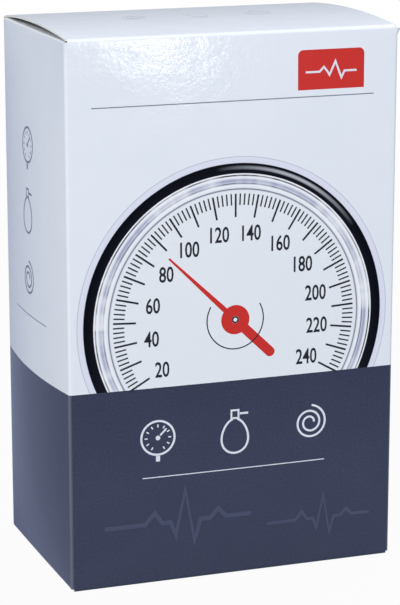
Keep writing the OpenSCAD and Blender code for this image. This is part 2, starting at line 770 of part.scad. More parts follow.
// The intake valve: a flanged plug with a seat for the ball and a snap cage above it
module intake_valve() {
    color("#b9bec6") at_bulb(intake_z) difference() {
        union() {
            cylinder(r = neck_r + 2, h = flange_t - 0.05);
            cylinder(r = plug_r, h = flange_t + 9);
        }
        translate([0, 0, -1]) cylinder(r = 1, h = 20);
        translate([0, 0, 5]) cylinder(r = ball_r + 0.4, h = 2 * ball_r + ball_lift + 0.2);
        translate([0, 0, -0.1]) cylinder(r = 3.6, h = 1);
        for (a = [0:90:270]) rotate(a) translate([1.6, 0, 5]) cylinder(r = 0.5, h = 9, $fn = 24);
    }
}

module intake_ball() {
    color("#e0e2e5") at_bulb(intake_z + 5.12 + ball_r) sphere(ball_r, $fn = 48);
}

// A dust screen pressed into the intake's mouth
module intake_screen() {
    color("#9aa0a8") at_bulb(intake_z + 0.1) difference() {
        cylinder(r = 3.56, h = 0.6);
        for (a = [0:60:300]) rotate(a) translate([2.1, 0, -1]) cylinder(r = 0.55, h = 3, $fn = 24);
        translate([0, 0, -1]) cylinder(r = 0.55, h = 3, $fn = 24);
    }
}

// The release valve's body: a plug in the bulb's neck, a ball seat, an outlet tail and a bleed hole
module release_valve() {
    outlet_z = 6;
    color("#b9bec6") at_bulb(valve_z) difference() {
        union() {
            translate([0, 0, -9]) cylinder(r = plug_r, h = 10);
            cylinder(r = valve_r, h = valve_h);
            translate([0, 0, 2]) cylinder(r = valve_r + 0.8, h = 1.4);
            translate([0, 0, outlet_z]) rotate([90, 0, 0]) {
                cylinder(r = 3, h = valve_r + 2);
                cylinder(r = 1.9, h = valve_r + 10.6);
                for (i = [0:2]) translate([0, 0, valve_r + 3 + 2.4 * i]) cylinder(r1 = 2.7, r2 = 1.9, h = 2.3);
            }
        }
        translate([0, 0, -10]) cylinder(r = 1, h = 19);
        translate([0, 0, -6]) cylinder(r = ball_r + 0.4, h = 2 * ball_r + ball_lift + 0.2);
        for (a = [0:90:270]) rotate(a) translate([1.6, 0, -6]) cylinder(r = 0.5, h = 7, $fn = 24);
        translate([0, 0, outlet_z]) rotate([90, 0, 0]) cylinder(r = 1.1, h = valve_r + 12);
        translate([0, 0, 9]) cylinder(r = 2.2, h = 3.4);
        translate([0, 0, 12]) cylinder(r = 2.55, h = 8);
        translate([0, 0, 10.2]) rotate([-90, 0, 0]) cylinder(r = 0.7, h = valve_r + 2, $fn = 24);
    }
}

module outlet_ball() {
    color("#e0e2e5") at_bulb(valve_z - 6 + 0.12 + ball_r) sphere(ball_r, $fn = 48);
}

// The needle that closes the seat; the knob's screw lets it rise
module valve_needle() {
    color("#d8d8d2") at_bulb(valve_z) {
        translate([0, 0, 7.9]) cylinder(r1 = 0.3, r2 = 0.9, h = 1.1);
        translate([0, 0, 9]) cylinder(r1 = 1.0, r2 = 1.7, h = 0.7);
        translate([0, 0, 9.7]) cylinder(r = 1.7, h = 1.5);
    }
}

// The thumb screw: a stem in the valve body under a scalloped knob
module valve_knob() {
    scallops = 20;
    grip = [for (i = [0:scallops * 6 - 1]) let (a = i * 60 / scallops, r = knob_r - 0.45 + 0.45 * cos(a * scallops))
        [r * cos(a), r * sin(a)]];
    color("#c3c8cf") at_bulb(knob_z) {
        translate([0, 0, valve_z + 11.2 + needle_lift + 0.05 - knob_z]) cylinder(r = 2.5, h = knob_z - valve_z - 11 - needle_lift);
        translate([0, 0, -1.2]) cylinder(r = 4.6, h = 1.3);
        linear_extrude(knob_h) polygon(grip);
        translate([0, 0, knob_h - 0.01]) cylinder(r1 = knob_r - 1, r2 = knob_r - 2, h = 0.8);
    }
}

module valve_seal() {
    color("#26282c") at_bulb(valve_z + valve_h + 0.05) rotate_extrude()
        translate([3.2, 0.32]) circle(0.32, $fn = 24);
}

// Cuff

// Points on the flat-sided roll at an offset from its inner face, half turn by half turn
function roll_side(from, to, offset, reverse) = let (
    step = 15,
    line = [for (a = [from:step:to]) let (
        h = floor((a - (a == to ? 0.01 : 0)) / 180),
        r = roll_in + roll_pitch * a / 360 + offset,
        c = (h % 2 == 0 ? 1 : -1) * roll_flat / 2
    ) each (a % 180 == 0 && a > from && a < to
        ? [[r * cos(a), r * sin(a) - c], [r * cos(a), r * sin(a) + c]]
        : [[r * cos(a), r * sin(a) + c]])]
) reverse ? [for (i = [len(line) - 1:-1:0]) line[i]] : line;

module roll_band(from, to, low, high) {
    polygon(concat(roll_side(from, to, high, false), roll_side(from, to, low, true)));
}

module at_roll(z) {
    translate([roll_x, 0, z]) children();
}

// The spot on the roll's middle line where the bladder's two necks rise
function neck_at(a) = let (
    r = roll_in + roll_pitch * a / 360 + cuff_t / 2,
    c = (floor(a / 180) % 2 == 0 ? 1 : -1) * roll_flat / 2
) [r * cos(a), r * sin(a) + c];

neck_spots = [neck_at(480), neck_at(780)];
neck_tube = 1.3;

module cuff_cover() {
    pocket = (cuff_t - bladder_t) / 2 - 0.1;
    sleeve = ring_wire + 1;
    color("#2f3a5e") at_roll(roll_z) difference() {
        union() {
            linear_extrude(cuff_w) roll_band(0, 180 * roll_halves, 0, cuff_t);
            translate([roll_in + cuff_t / 2, roll_flat / 2, 40]) cylinder(r = sleeve, h = 60);
        }
        translate([0, 0, hem]) linear_extrude(cuff_w - 2 * hem)
            roll_band(60, 900, pocket, cuff_t - pocket);
        translate([roll_in + cuff_t / 2, roll_flat / 2, 33]) cylinder(r = ring_wire + 0.2, h = 74);
        for (p = neck_spots) translate([p[0], p[1], cuff_w - hem - 1]) cylinder(r = neck_tube + 0.05, h = hem + 2);
    }
}

module bladder() {
    low = (cuff_t - bladder_t) / 2;
    inset = hem + 0.5;
    color("#3a3b40") at_roll(roll_z + inset) linear_extrude(cuff_w - 2 * inset)
        roll_band(75, 885, low, low + bladder_t);
}

// The hook side, on the inner face of the cuff's tail
module hook_patch() {
    last = 180 * roll_halves;
    color("#22242a") at_roll(roll_z + 20) linear_extrude(cuff_w - 40)
        roll_band(last - 150, last - 15, -patch_t - 0.05, -0.05);
}

// The loop side, on the outer face of the turn below
module loop_patch() {
    last = 180 * (roll_halves - 2);
    color("#3a4468") at_roll(roll_z + 16) linear_extrude(cuff_w - 32)
        roll_band(last - 165, last, cuff_t + 0.05, cuff_t + 0.05 + patch_t);
}

// The metal loop through the sleeve at the cuff's inner end
module d_ring() {
    bend = 4;
    long = 68;
    across = min(20, (roll_flat + roll_in + 0.75 * roll_pitch - ring_wire - 0.4) / 0.9);
    color("#c3c8cf") at_roll(roll_z + 36) translate([roll_in + cuff_t / 2, roll_flat / 2, 0])
        rotate(-116) {
            for (x = [0, across]) translate([x, 0, bend]) cylinder(r = ring_wire, h = long - 2 * bend, $fn = 32);
            for (z = [0, long]) translate([bend, 0, z]) rotate([0, 90, 0])
                cylinder(r = ring_wire, h = across - 2 * bend, $fn = 32);
            for (c = [[0, bend, 180], [across, bend, 270], [across, long - bend, 0], [0, long - bend, 90]])
                translate([c[0] == 0 ? bend : across - bend, 0, c[1]]) rotate([90, 0, 0])
                    rotate([0, 0, c[2]]) rotate_extrude(angle = 90) translate([bend, 0]) circle(ring_wire, $fn = 32);
        }
}

// Two hose tails that rise from the bladder through the cover's upper edge
module bladder_ports() {
    rise = hem + 0.5;
    color("#d9dce0") at_roll(roll_z) for (p = neck_spots) translate([p[0], p[1], cuff_w - rise + 0.05]) {
        cylinder(r = neck_tube, h = rise + 8.5, $fn = 32);
        translate([0, 0, rise]) cylinder(r = 3, h = 1.2, $fn = 32);
        for (i = [0:1]) translate([0, 0, rise + 2.6 + 2.4 * i]) cylinder(r1 = 2.2, r2 = neck_tube, h = 2.3, $fn = 32);
    }
}

front_panel();
back_panel();
left_panel();
right_panel();
glue_flap();
top_lid();
tuck_flap();
dust_flap_left();
dust_flap_right();
bottom_flap_front();
bottom_flap_back();
bottom_flap_left();
bottom_flap_right();
insert_deck();
insert_divider();
gauge_case();
hose_nipple();
capsule_stud();
capsule_lower();
capsule_upper();
capsule_pin();
movement_posts();
lower_plate();
upper_plate();
plate_pillars();
plate_screws();
rocking_shaft();
sector_gear();
pinion_arbor();
hairspring();
hairspring_stud();
dial_plate();
dial_screws();
pointer();
crystal();
crystal_gasket();
bezel();
bulb();
intake_valve();
intake_ball();
intake_screen();
release_valve();
outlet_ball();
valve_needle();
valve_knob();
valve_seal();
cuff_cover();
bladder();
hook_patch();
loop_patch();
d_ring();
bladder_ports();
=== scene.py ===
import bpy
import bmesh
from functools import partial
from math import asin, ceil, copysign, cos, degrees, exp, hypot, pi, radians, sin, sqrt
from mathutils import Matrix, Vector


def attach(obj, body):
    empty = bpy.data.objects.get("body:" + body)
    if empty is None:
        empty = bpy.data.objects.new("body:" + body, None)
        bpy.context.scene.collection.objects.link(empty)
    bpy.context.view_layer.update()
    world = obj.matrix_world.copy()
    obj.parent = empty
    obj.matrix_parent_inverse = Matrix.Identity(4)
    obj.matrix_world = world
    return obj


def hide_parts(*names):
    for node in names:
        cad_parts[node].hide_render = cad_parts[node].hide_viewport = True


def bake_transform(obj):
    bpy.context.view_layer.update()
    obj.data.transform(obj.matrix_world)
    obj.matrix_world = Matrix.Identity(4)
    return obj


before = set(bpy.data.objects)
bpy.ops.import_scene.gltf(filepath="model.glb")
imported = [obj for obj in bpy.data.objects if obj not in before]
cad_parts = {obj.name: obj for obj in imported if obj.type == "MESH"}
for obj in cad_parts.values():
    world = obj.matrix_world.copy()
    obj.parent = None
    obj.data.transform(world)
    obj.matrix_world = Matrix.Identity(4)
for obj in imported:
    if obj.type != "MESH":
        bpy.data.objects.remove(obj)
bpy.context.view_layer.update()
mm = 0.001
scene = bpy.context.scene
print("frame loaded")


def pick(ob):
    bpy.ops.object.select_all(action="DESELECT")
    ob.select_set(True)
    bpy.context.view_layer.objects.active = ob


def startEdit():
    bpy.ops.object.mode_set(mode="EDIT")
    bpy.ops.mesh.select_all(action="SELECT")


def endEdit():
    bpy.ops.object.mode_set(mode="OBJECT")


def linear(hexText):
    parts = [int(hexText[i:i + 2], 16) / 255 for i in (1, 3, 5)]
    return [*(p / 12.92 if p <= 0.04045 else ((p + 0.055) / 1.055) ** 2.4 for p in parts), 1.0]


def connect(node, *inOrder, **byName):
    # Fills the sockets that the node shows, in order, and others by name; a text is a colour, a node gives its first output
    shown = [socket for socket in node.inputs if socket.enabled]
    named = [(node.inputs[name.replace("_", " ")], value) for name, value in byName.items()]
    for socket, value in [*zip(shown, inOrder), *named]:
        if isinstance(value, bpy.types.Node):
            value = next(output for output in value.outputs if output.enabled)
        if isinstance(value, bpy.types.NodeSocket):
            node.id_data.links.new(value, socket)
        else:
            socket.default_value = linear(value) if isinstance(value, str) else value


choices = {"Math": "operation", "VectorMath": "operation", "Mix": "data_type", "TexNoise": "noise_dimensions"}


def addNode(tree, kind, *inOrder, **settings):
    # "Math ADD" is a Math node set to ADD; names with a capital are sockets, the others are the node's own settings
    kind, *choice = kind.split()
    added = tree.nodes.new("ShaderNode" + kind)
    if choice:
        setattr(added, choices[kind], choice[0])
    for key in [key for key in settings if key.islower()]:
        setattr(added, key, settings.pop(key))
    connect(added, *inOrder, **settings)
    return added


def newMaterial(name, color, roughness, **sockets):
    material = bpy.data.materials.new(name)
    material.use_nodes = True
    shader = material.node_tree.nodes["Principled BSDF"]
    connect(shader, Base_Color=color, Roughness=roughness, **sockets)
    material.diffuse_color = linear(color)
    return material, partial(addNode, material.node_tree), shader


# Carton sizes in millimetres; a blank's length s is the height above the base on every wall
carton = {"width": 127.0, "depth": 80.0, "height": 203.0, "foldRadius": 1.2, "board": 0.55,
          "faceBow": 0.72, "sideBow": 2.92, "lidRise": 1.75, "bandTop": 75.0, "creaseAt": 202.7,
          "sideTop": 200.3, "sideArch": 201.6, "wallTop": 201.9, "backTop": 202.6, "gridStep": 3.0}
halfW, halfD, foldR = carton["width"] / 2, carton["depth"] / 2, carton["foldRadius"]
flatW, flatD = halfW - foldR, halfD - foldR
foldLength, sideTop = foldR * pi / 2, carton["sideTop"]


def addAimed(name, data, spot, direction):
    holder = bpy.data.objects.new(name, data)
    scene.collection.objects.link(holder)
    holder.location, holder.rotation_euler = spot, direction.to_track_quat("-Z", "Y").to_euler()
    return holder


# Camera: fitted to the eight measured corners of the carton, no shift
cameraSet = {"yaw": 20.0037, "pitch": 13.5413, "distance": 0.908148, "aim": (1.100, 0.0, 95.135), "lens": 141.73}
yaw, pitch = radians(cameraSet["yaw"]), radians(cameraSet["pitch"])
forward = Vector((sin(yaw) * cos(pitch), cos(yaw) * cos(pitch), -sin(pitch)))
spot = Vector(cameraSet["aim"]) * mm - forward * cameraSet["distance"]
camera = addAimed("camera", bpy.data.cameras.new("camera"), spot, forward)
camera.data.lens, camera.data.sensor_width, camera.data.clip_start = cameraSet["lens"], 36, 0.05
scene.camera = camera
scene.view_settings.view_transform = "Standard"
print("camera set")

# Lamps: a soft key at the front left, fills at the right and behind, one overhead
# and a strip that stands in front and shines in the varnish
lamps = {  # place, size, watts and tint
    "keyLamp": ((-2.02, -1.87, 1.82), (1.3, 1.3), 87.0, "#ffffff"),
    "topLamp": ((-0.15, -0.3, 2.2), (1.2, 1.2), 4.0, "#f7faff"),
    "sideLamp": ((1.95, -1.65, 1.5), (1.2, 1.2), 28.0, "#f7faff"),
    "backLamp": ((1.6, 1.7, 1.2), (1.2, 1.2), 39.0, "#f7faff"),
    "stripLamp": ((0.44, -1.45, 0.09), (0.06, 0.1), 0.45, "#ffffff"),
}
for name, (place, size, watts, tint) in lamps.items():
    light = bpy.data.lights.new(name, "AREA")
    light.shape, light.size, light.size_y = "RECTANGLE", *size
    light.energy, light.color = watts, linear(tint)[:3]
    addAimed(name, light, place, Vector((0, 0, 0.1)) - Vector(place))

# Room: white round the object for the lens, metal and glass, with the dark side of the studio behind the camera
room = {"rise": (0.15, 0.6), "upward": (0.5, 0.95), "turnAway": (-0.7, -0.1), "behind": (0.2, 1.0), "onObject": 0.26}
world = bpy.data.worlds.new("studio")
scene.world = world
world.use_nodes = True
add = partial(addNode, world.node_tree)
path = add("LightPath").outputs
_, depth, height = add("SeparateXYZ", add("TexCoord").outputs["Generated"]).outputs
upward = add("MapRange", height, *room["rise"], *room["upward"])
away = add("Math ADD", depth, height)
behind = add("MapRange", away, *room["turnAway"], *room["behind"])
mirrored = add("Math MULTIPLY", upward, behind)
seen = add("Math MAXIMUM", path["Is Camera Ray"], path["Is Transmission Ray"])
glossy = add("Math MULTIPLY", path["Is Glossy Ray"], mirrored)
diffuse = add("Math MULTIPLY", path["Is Diffuse Ray"], room["onObject"])
strength = add("Math MAXIMUM", add("Math MAXIMUM", seen, glossy), diffuse)
tint = add("Mix RGBA", seen, "#eef3ff", "#ffffff")
connect(world.node_tree.nodes["Background"], Color=tint, Strength=strength)

# Paper sweep: white to the lens, with a faint shadow; to metal, glass and varnish it glows pale blue as far as it
# reaches in front and goes dark beyond that, which paints their reflections
sweep = {"frontEdge": -0.16, "fade": 0.2, "mirrored": (0.03, 0.55), "far": (0.5, 1.6), "shown": (0.96, 1.0)}
bpy.ops.object.select_all(action="DESELECT")
bpy.ops.mesh.primitive_plane_add(size=6, location=(0, 0, -0.0002))
floor = bpy.context.object
floor.name = "floor"
material, add, shader = newMaterial("paper sweep", "#8e9094", 0.9, Specular_IOR_Level=0.1)
path = add("LightPath").outputs
spot = add("NewGeometry").outputs["Position"]
inFront = add("SeparateXYZ", spot).outputs[1]
# a glow seen only in reflections, pale blue behind the front edge and nearly dark in front of it: a painted reflection
paper = add("MapRange", inFront, sweep["frontEdge"] - sweep["fade"], sweep["frontEdge"], *sweep["mirrored"])
reflectedGlow = add("Emission", "#cad6ff", paper)
glow = add("Emission", "#ffffff", 1.0)
far = add("VectorMath LENGTH", spot)
white = add("MapRange", far, *sweep["far"], *sweep["shown"])
straight = add("Math MAXIMUM", path["Is Camera Ray"], path["Is Transmission Ray"])
base = add("MixShader", path["Is Glossy Ray"], shader, reflectedGlow)
mixed = add("MixShader", add("Math MULTIPLY", straight, white), base, glow)
connect(material.node_tree.nodes["Material Output"], mixed)
floor.data.materials.append(material)
print("lamps and floor placed")

# The dial printed on the front, in millimetres on the blank: places, marks, and the colour at each radius
printedDial = {
    "centre": (0.0, 98.0), "firstMark": 20, "lastMark": 240, "firstAngle": 210.0, "degreesPerMark": 240 / 220,
    "innerEdge": 46.0, "outerEdge": 62.0, "rim": (49.2, 54.1), "glint": 56.3, "glintAngle": 1.15, "fade": (60.8, 60.2),
    "rings": [(46.0, "#e6ebf1"), (48.0, "#e6ebf1"), (48.2, "#b4bac8"), (48.6, "#5a6074"), (48.8, "#dfe4ec"),
              (49.9, "#f4f6fa"), (50.3, "#b9bdd0"), (50.6, "#31364a"), (50.8, "#c9cde0"), (51.7, "#9a9fba"),
              (52.3, "#d5d9e8"), (52.8, "#f2f4f8"), (53.1, "#e2e6ee"), (53.3, "#272b3e"), (53.6, "#2f3448"),
              (53.75, "#eef1f6"), (54.1, "#f4f6fa"), (54.25, "#12141f"), (57.9, "#0b0c14"), (58.05, "#dcdfee"),
              (60.0, "#e0e3f0"), (60.3, "#a9aec4"), (60.5, "#e4e9f0")],
}


def dialArt(add, layout, paper):
    # A big printed dial: a black ring, turned rims with streaks of light round it, and a pale face
    dial = printedDial
    away = add("VectorMath SUBTRACT", layout, (*(v * mm for v in dial["centre"]), 0))
    x, y, _ = add("SeparateXYZ", away).outputs
    radius = add("Math DIVIDE", add("VectorMath LENGTH", away), mm)
    angle = add("Math ARCTAN2", y, x)
    rings = add("ValToRGB", add("MapRange", radius, dial["innerEdge"], dial["outerEdge"]))
    stops = rings.color_ramp.elements
    for i, (at, color) in enumerate(dial["rings"]):
        share = (at - dial["innerEdge"]) / (dial["outerEdge"] - dial["innerEdge"])
        stop = stops.new(share) if i else stops[0]
        stop.position, stop.color = share, linear(color)
    streak = add("TexNoise 1D", add("Math MULTIPLY", angle, 2.2), 1.0, 3.0, 0.6)
    light = add("MapRange", streak, 0.42, 0.66, 0.0, 0.8)
    above, below = add("Math GREATER_THAN", radius, dial["rim"][0]), add("Math LESS_THAN", radius, dial["rim"][1])
    shine = add("Math MULTIPLY", light, add("Math MULTIPLY", above, below))
    color = add("Mix RGBA", shine, rings, "#f4f6fa")
    off = add("Math ABSOLUTE", add("Math SUBTRACT", radius, dial["glint"]))
    aside = add("Math ABSOLUTE", add("Math SUBTRACT", angle, dial["glintAngle"]))
    shine = add("Math MULTIPLY", add("MapRange", off, 0.9, 0.2), add("MapRange", aside, 0.55, 0.1, 0.0, 0.75))
    color = add("Mix RGBA", shine, color, "#c9ced8")
    return add("Mix RGBA", add("MapRange", radius, *dial["fade"]), paper, color)


def coatedBoard(name, isFront):
    # Folding boxboard, offset printed and gloss varnished: even ink, a fine orange peel, pale where it is creased,
    # partly cracked varnish and partly a painted highlight on the fold
    material, add, shader = newMaterial(name, "#e4eaf2", 0.12, Specular_IOR_Level=0.35)
    layout = add("UVMap", uv_map="printLayout")
    across, up, _ = add("SeparateXYZ", layout).outputs
    mottle = add("TexNoise", layout, 45, 3.0, 0.55)  # slow mottle of the ink, about 22 mm
    uneven = add("TexNoise", layout, 1100, 2.0, 0.55)  # the heavy ink lies a little uneven, 0.9 mm
    peel = add("TexNoise", layout, 620, 2.0, 0.55)  # orange peel, 1.6 mm
    wave = add("TexNoise", layout, 60, 2.0, 0.55)  # the board's own slow waves, 17 mm
    handled = add("TexNoise", layout, 130, 3.0, 0.55)  # duller and brighter patches, 8 mm
    color = add("Mix RGBA", mottle, "#e2e8f0", "#e8edf4")
    if isFront:
        color = dialArt(add, layout, color)
    band = add("Mix RGBA", mottle, "#393e53", "#42465b")
    grain = add("MapRange", uneven, 0.3, 0.7, 0.0, 0.5)
    band = add("Mix RGBA", grain, band, "#2e3348")
    inBand = add("Math LESS_THAN", up, carton["bandTop"] * mm)
    color = add("Mix RGBA", inBand, color, band)
    # the varnish cracks and whitens a little along the creases, and the same paler strip is also a painted highlight
    # on the rounded fold
    crease = add("Math SUBTRACT", up, carton["creaseAt"] * mm)
    pale = add("MapRange", add("Math ABSOLUTE", crease), 0.0013, 0.0004, 0.0, 0.35)
    color = add("Mix RGBA", pale, color, "#f6f8fb")
    if isFront:
        # the front's side folds are painted paler: partly rubbed wear, partly a painted highlight along the fold
        rubAndFoldHighlight = add("MapRange", add("Math ABSOLUTE", across), 0.0624, 0.0632, 0.0, 0.1)
        color = add("Mix RGBA", rubAndFoldHighlight, color, "#f2f5f9")
    fine = add("Bump", 0.35, 0.0001, Height=peel)
    slow = add("Bump", 0.25, 0.0005, Height=wave, Normal=fine)
    connect(shader, Base_Color=color, Normal=slow, Roughness=add("MapRange", handled, 0, 1, 0.08, 0.14))
    return material


def pulpBoard(name, color, roughness, grain, dark, pale, relief=None, **sockets):
    # Uncoated pulp: short fibres of two tones that may stand up a little
    material, add, shader = newMaterial(name, color, roughness, **sockets)
    fibre = add("TexNoise", add("TexCoord").outputs["Object"], *grain)
    tone = add("Mix RGBA", fibre, dark, pale)
    connect(shader, Base_Color=tone)
    if relief:
        connect(shader, Normal=add("Bump", *relief, Height=fibre))
    return material, add, shader, fibre, tone


frontPrint = coatedBoard("varnished boxboard, front print", True)
plainPrint = coatedBoard("varnished boxboard, plain print", False)
# Uncoated back of the boxboard: grey-white pulp with short fibres of about 1 mm
boardBack = pulpBoard("uncoated boxboard back", "#d9d5cb", 0.85, (900, 6.0, 0.7), "#c6c1b5", "#e6e3da", (0.25, 0.0001),
                      Specular_IOR_Level=0.25)[0]
# Die-cut edge: the pale core of the board, a little furry with cut fibres of 0.4 mm
boardEdge = pulpBoard("die-cut board edge", "#e4e6e8", 0.9, (2500, 4.0, 0.7), "#cfd0cf", "#eef0f0",
                      Specular_IOR_Level=0.2)[0]
# Insert board: grey recycled pulp of about 1.2 mm fibres with darker flecks, cut on a die
greyBoard, add, shader, fibre, tone = pulpBoard(
    "recycled grey board", "#b9b2a4", 0.88, (800, 6.0, 0.75), "#a59d8d", "#c8c2b5", (0.35, 0.00015), Specular_IOR_Level=0.2)
fleck = add("MapRange", add("TexNoise", add("TexCoord").outputs["Object"], 2200, 2.0, 0.55), 0.66, 0.72)
connect(shader, Base_Color=add("Mix RGBA", fleck, tone, "#7d766a"))
# Bottom flaps: printed below, raw board above and at the cut edges
flapBoard, add, shader, fibre, tone = pulpBoard(
    "boxboard flap, printed below", "#dcd9d1", 0.6, (900, 6.0, 0.7), "#c6c1b5", "#e6e3da")
below = add("Math LESS_THAN", add("SeparateXYZ", add("NewGeometry").outputs["Normal"]).outputs[2], -0.5)
printed = add("Mix RGBA", fibre, "#31364f", "#373c56")
connect(shader, Base_Color=add("Mix RGBA", below, tone, printed), Roughness=add("MapRange", below, 0, 1, 0.85, 0.32))
print("board materials made")


def newGrid(name, low, high, counts):
    # A flat grid in millimetres, left in edit mode
    bpy.ops.object.select_all(action="DESELECT")
    bpy.ops.mesh.primitive_grid_add(x_subdivisions=counts[0], y_subdivisions=counts[1], size=1, calc_uvs=False)
    grid = bpy.context.object
    grid.name = grid.data.name = name
    startEdit()
    bpy.ops.transform.resize(value=(high[0] - low[0], high[1] - low[1], 1))
    bpy.ops.transform.translate(value=((low[0] + high[0]) / 2, (low[1] + high[1]) / 2, 0))
    return grid


def cutMesh(cuts):
    # Cuts the mesh that is being edited by planes, each a point and a direction
    for spot, across in cuts:
        bpy.ops.mesh.select_all(action="SELECT")
        bpy.ops.mesh.bisect(plane_co=(*spot, 0)[:3], plane_no=(*across, 0)[:3], threshold=1e-5)


def keepLayout(ob, name, shift=(0, 0), scale=(mm, mm)):
    # The flat shape becomes the map for the print or the weave, in metres
    layout = ob.data.uv_layers.new(name=name)
    for loop in ob.data.loops:
        corner = ob.data.vertices[loop.vertex_index].co
        layout.data[loop.index].uv = [shift[i] + corner[i] * scale[i] for i in (0, 1)]


def smooth(degreesApart):
    bpy.ops.object.shade_smooth_by_angle(angle=radians(degreesApart))


def pointOutwards(ob):
    pick(ob)
    startEdit()
    bpy.ops.mesh.remove_doubles(threshold=1e-6)
    bpy.ops.mesh.normals_make_consistent(inside=False)
    endEdit()


def thicken(ob, thick, offset=-1, surfaces=(0, 0)):
    pick(ob)
    wall = ob.modifiers.new("wall", "SOLIDIFY")
    wall.thickness, wall.offset = thick, offset
    wall.material_offset, wall.material_offset_rim = surfaces
    bpy.ops.object.modifier_apply(modifier=wall.name)


def foldBoard(name, low, high, cuts, gone, place, outer):
    # A flat blank in millimetres: a grid, extra lines at the creases and cuts, and what the die takes away
    board = newGrid(name, low, high, [max(2, round((high[i] - low[i]) / carton["gridStep"])) for i in (0, 1)])
    cutMesh(cuts)
    bpy.ops.mesh.select_all(action="DESELECT")
    for face in bmesh.from_edit_mesh(board.data).faces:
        face.select = gone(*face.calc_center_median()[:2])
    bmesh.update_edit_mesh(board.data)
    bpy.ops.mesh.delete(type="FACE")
    bpy.ops.mesh.select_all(action="SELECT")
    bpy.ops.mesh.remove_doubles(threshold=0.02)
    endEdit()
    # it is folded into shape, in metres, and gets its thickness inwards
    keepLayout(board, "printLayout")
    for vertex in board.data.vertices:
        vertex.co = Vector(place(vertex.co.x, vertex.co.y)) * mm
    for material in (outer, boardBack, boardEdge):
        board.data.materials.append(material)
    thicken(board, carton["board"] * mm, surfaces=(1, 2))
    startEdit()
    bpy.ops.mesh.dissolve_degenerate(threshold=3e-6)
    endEdit()
    smooth(38)
    return board


def alongFolds(length, start, heading, runs):
    # Where a board that starts at a point with a heading has got to after some length of straight and round runs
    a, b, facing = *start, radians(heading)
    for i, (run, turn) in enumerate(runs):
        part = length if i == len(runs) - 1 else min(length, run)
        angle = radians(turn) * part / run
        if turn:
            radius = run / radians(turn)
            a += radius * (sin(facing + angle) - sin(facing))
            b -= radius * (cos(facing + angle) - cos(facing))
        else:
            a, b = a + part * cos(facing), b + part * sin(facing)
        facing, length = facing + angle, length - part
        if length <= 0:
            break
    return a, b, facing


def bulge(rise, across, up):
    # How far a panel stands out, from its middle to its edges
    return rise * (1 - min(1, across * across)) * (1 - min(1, up ** 4))


def levels(*heights):
    return [((0, s), (0, 1)) for s in heights]


def uprights(*places):
    return [((u, 0), (1, 0)) for u in places]


def creaseLines(first, length, parts=6, lines=levels):
    return lines(*(first + length * i / parts for i in range(parts + 1)))


def roundCorner(x, y, radius, side):
    # Cuts round a quarter of a circle, 10 degrees apart
    rays = [(side * cos(radians(a)), sin(radians(a))) for a in range(10, 90, 10)]
    return [((x + radius * c, y + radius * s), (c, s)) for c, s in rays]


# Front panel, front fold and lid, which are one stretch of board, and the tuck flap after them
tuck = {"y": 38.5, "radius": 0.6, "lean": 10.0, "length": 14.8, "half": 58.5, "shoulder": 60.5, "corner": 10.0,
        "slit": (0.4, 0.9), "slitLength": 6.0}
lid = {"start": (-halfD + foldR, carton["height"] - foldR), "inset": 0.7, "firstGuess": 5.324}
lidTurn = lid["firstGuess"]
for _ in range(20):  # the arch's first heading, the end of the front fold and the start of the tuck fold agree
    first = lid["start"][0] - foldR * sin(radians(lidTurn))
    last = tuck["y"] + tuck["radius"] * sin(radians(lidTurn))
    half = (last - first) / 2
    lidRadius = (half * half + carton["lidRise"] ** 2) / (2 * carton["lidRise"])
    lidTurn = degrees(asin(half / lidRadius))
footRun = 0.1 + foldLength - foldR
wallEnd = carton["height"] - foldR
lidStart = wallEnd + foldR * radians(90 - lidTurn)
lidLength = 2 * radians(lidTurn) * lidRadius
tuckStart = lidStart + lidLength
tuckTurn = 90 + tuck["lean"] - lidTurn
tuckFold = tuck["radius"] * radians(tuckTurn)
lidRuns = [(0.1, 0), (foldLength, -90), (wallEnd - foldR, 0), (lidStart - wallEnd, lidTurn - 90),
           (lidLength, -2 * lidTurn), (tuckFold, -tuckTurn), (100, 0)]


def frontPlace(u, s):
    y, z, heading = alongFolds(s + footRun, (-flatD + 0.1, 0), 180, lidRuns)
    if foldR - 0.01 < s < wallEnd and abs(u) > flatW:
        turn = (abs(u) - flatW) / foldR
        return copysign(flatW + foldR * sin(turn), u), y + foldR * (1 - cos(turn)), z
    out = bulge(carton["faceBow"], u / flatW, 2 * s / wallEnd - 1 if s < wallEnd else 1)
    return u, y - out * sin(heading), z + out * cos(heading)


def frontGone(u, s):
    if s < foldR or carton["wallTop"] < s < lidStart:
        return abs(u) > flatW
    return s > lidStart and abs(u) > lidHalf


lidHalf = halfW - lid["inset"]
lidCut = tuckStart - 1.2
cuts = levels(foldR, carton["wallTop"], lidStart) + creaseLines(0.1 - footRun, foldLength)
cuts += creaseLines(wallEnd, lidStart - wallEnd, 8)
for side in (-1, 1):
    cuts += creaseLines(side * flatW, side * foldLength, lines=uprights) + uprights(side * lidHalf)
frontAndLid = foldBoard("frontAndLid", (-flatW - foldLength, -footRun), (flatW + foldLength, lidCut), cuts, frontGone,
                        frontPlace, frontPrint)
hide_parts("front_panel", "top_lid")
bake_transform(frontAndLid)
print("front and lid folded")


def tuckGone(u, s):
    # the die rounds the flap's corners and slits its shoulders
    past, half, corner = s - tuckStart - tuckFold, tuck["half"], tuck["corner"]
    if s < tuckStart:
        return False
    if past < 0:
        return abs(u) > tuck["shoulder"]
    if tuck["slit"][0] < past < tuck["slit"][1] and abs(u) > half - tuck["slitLength"]:
        return True
    over = (abs(u) - half + corner, past - tuck["length"] + corner)
    return abs(u) > half or (min(over) > 0 and hypot(*over) > corner)


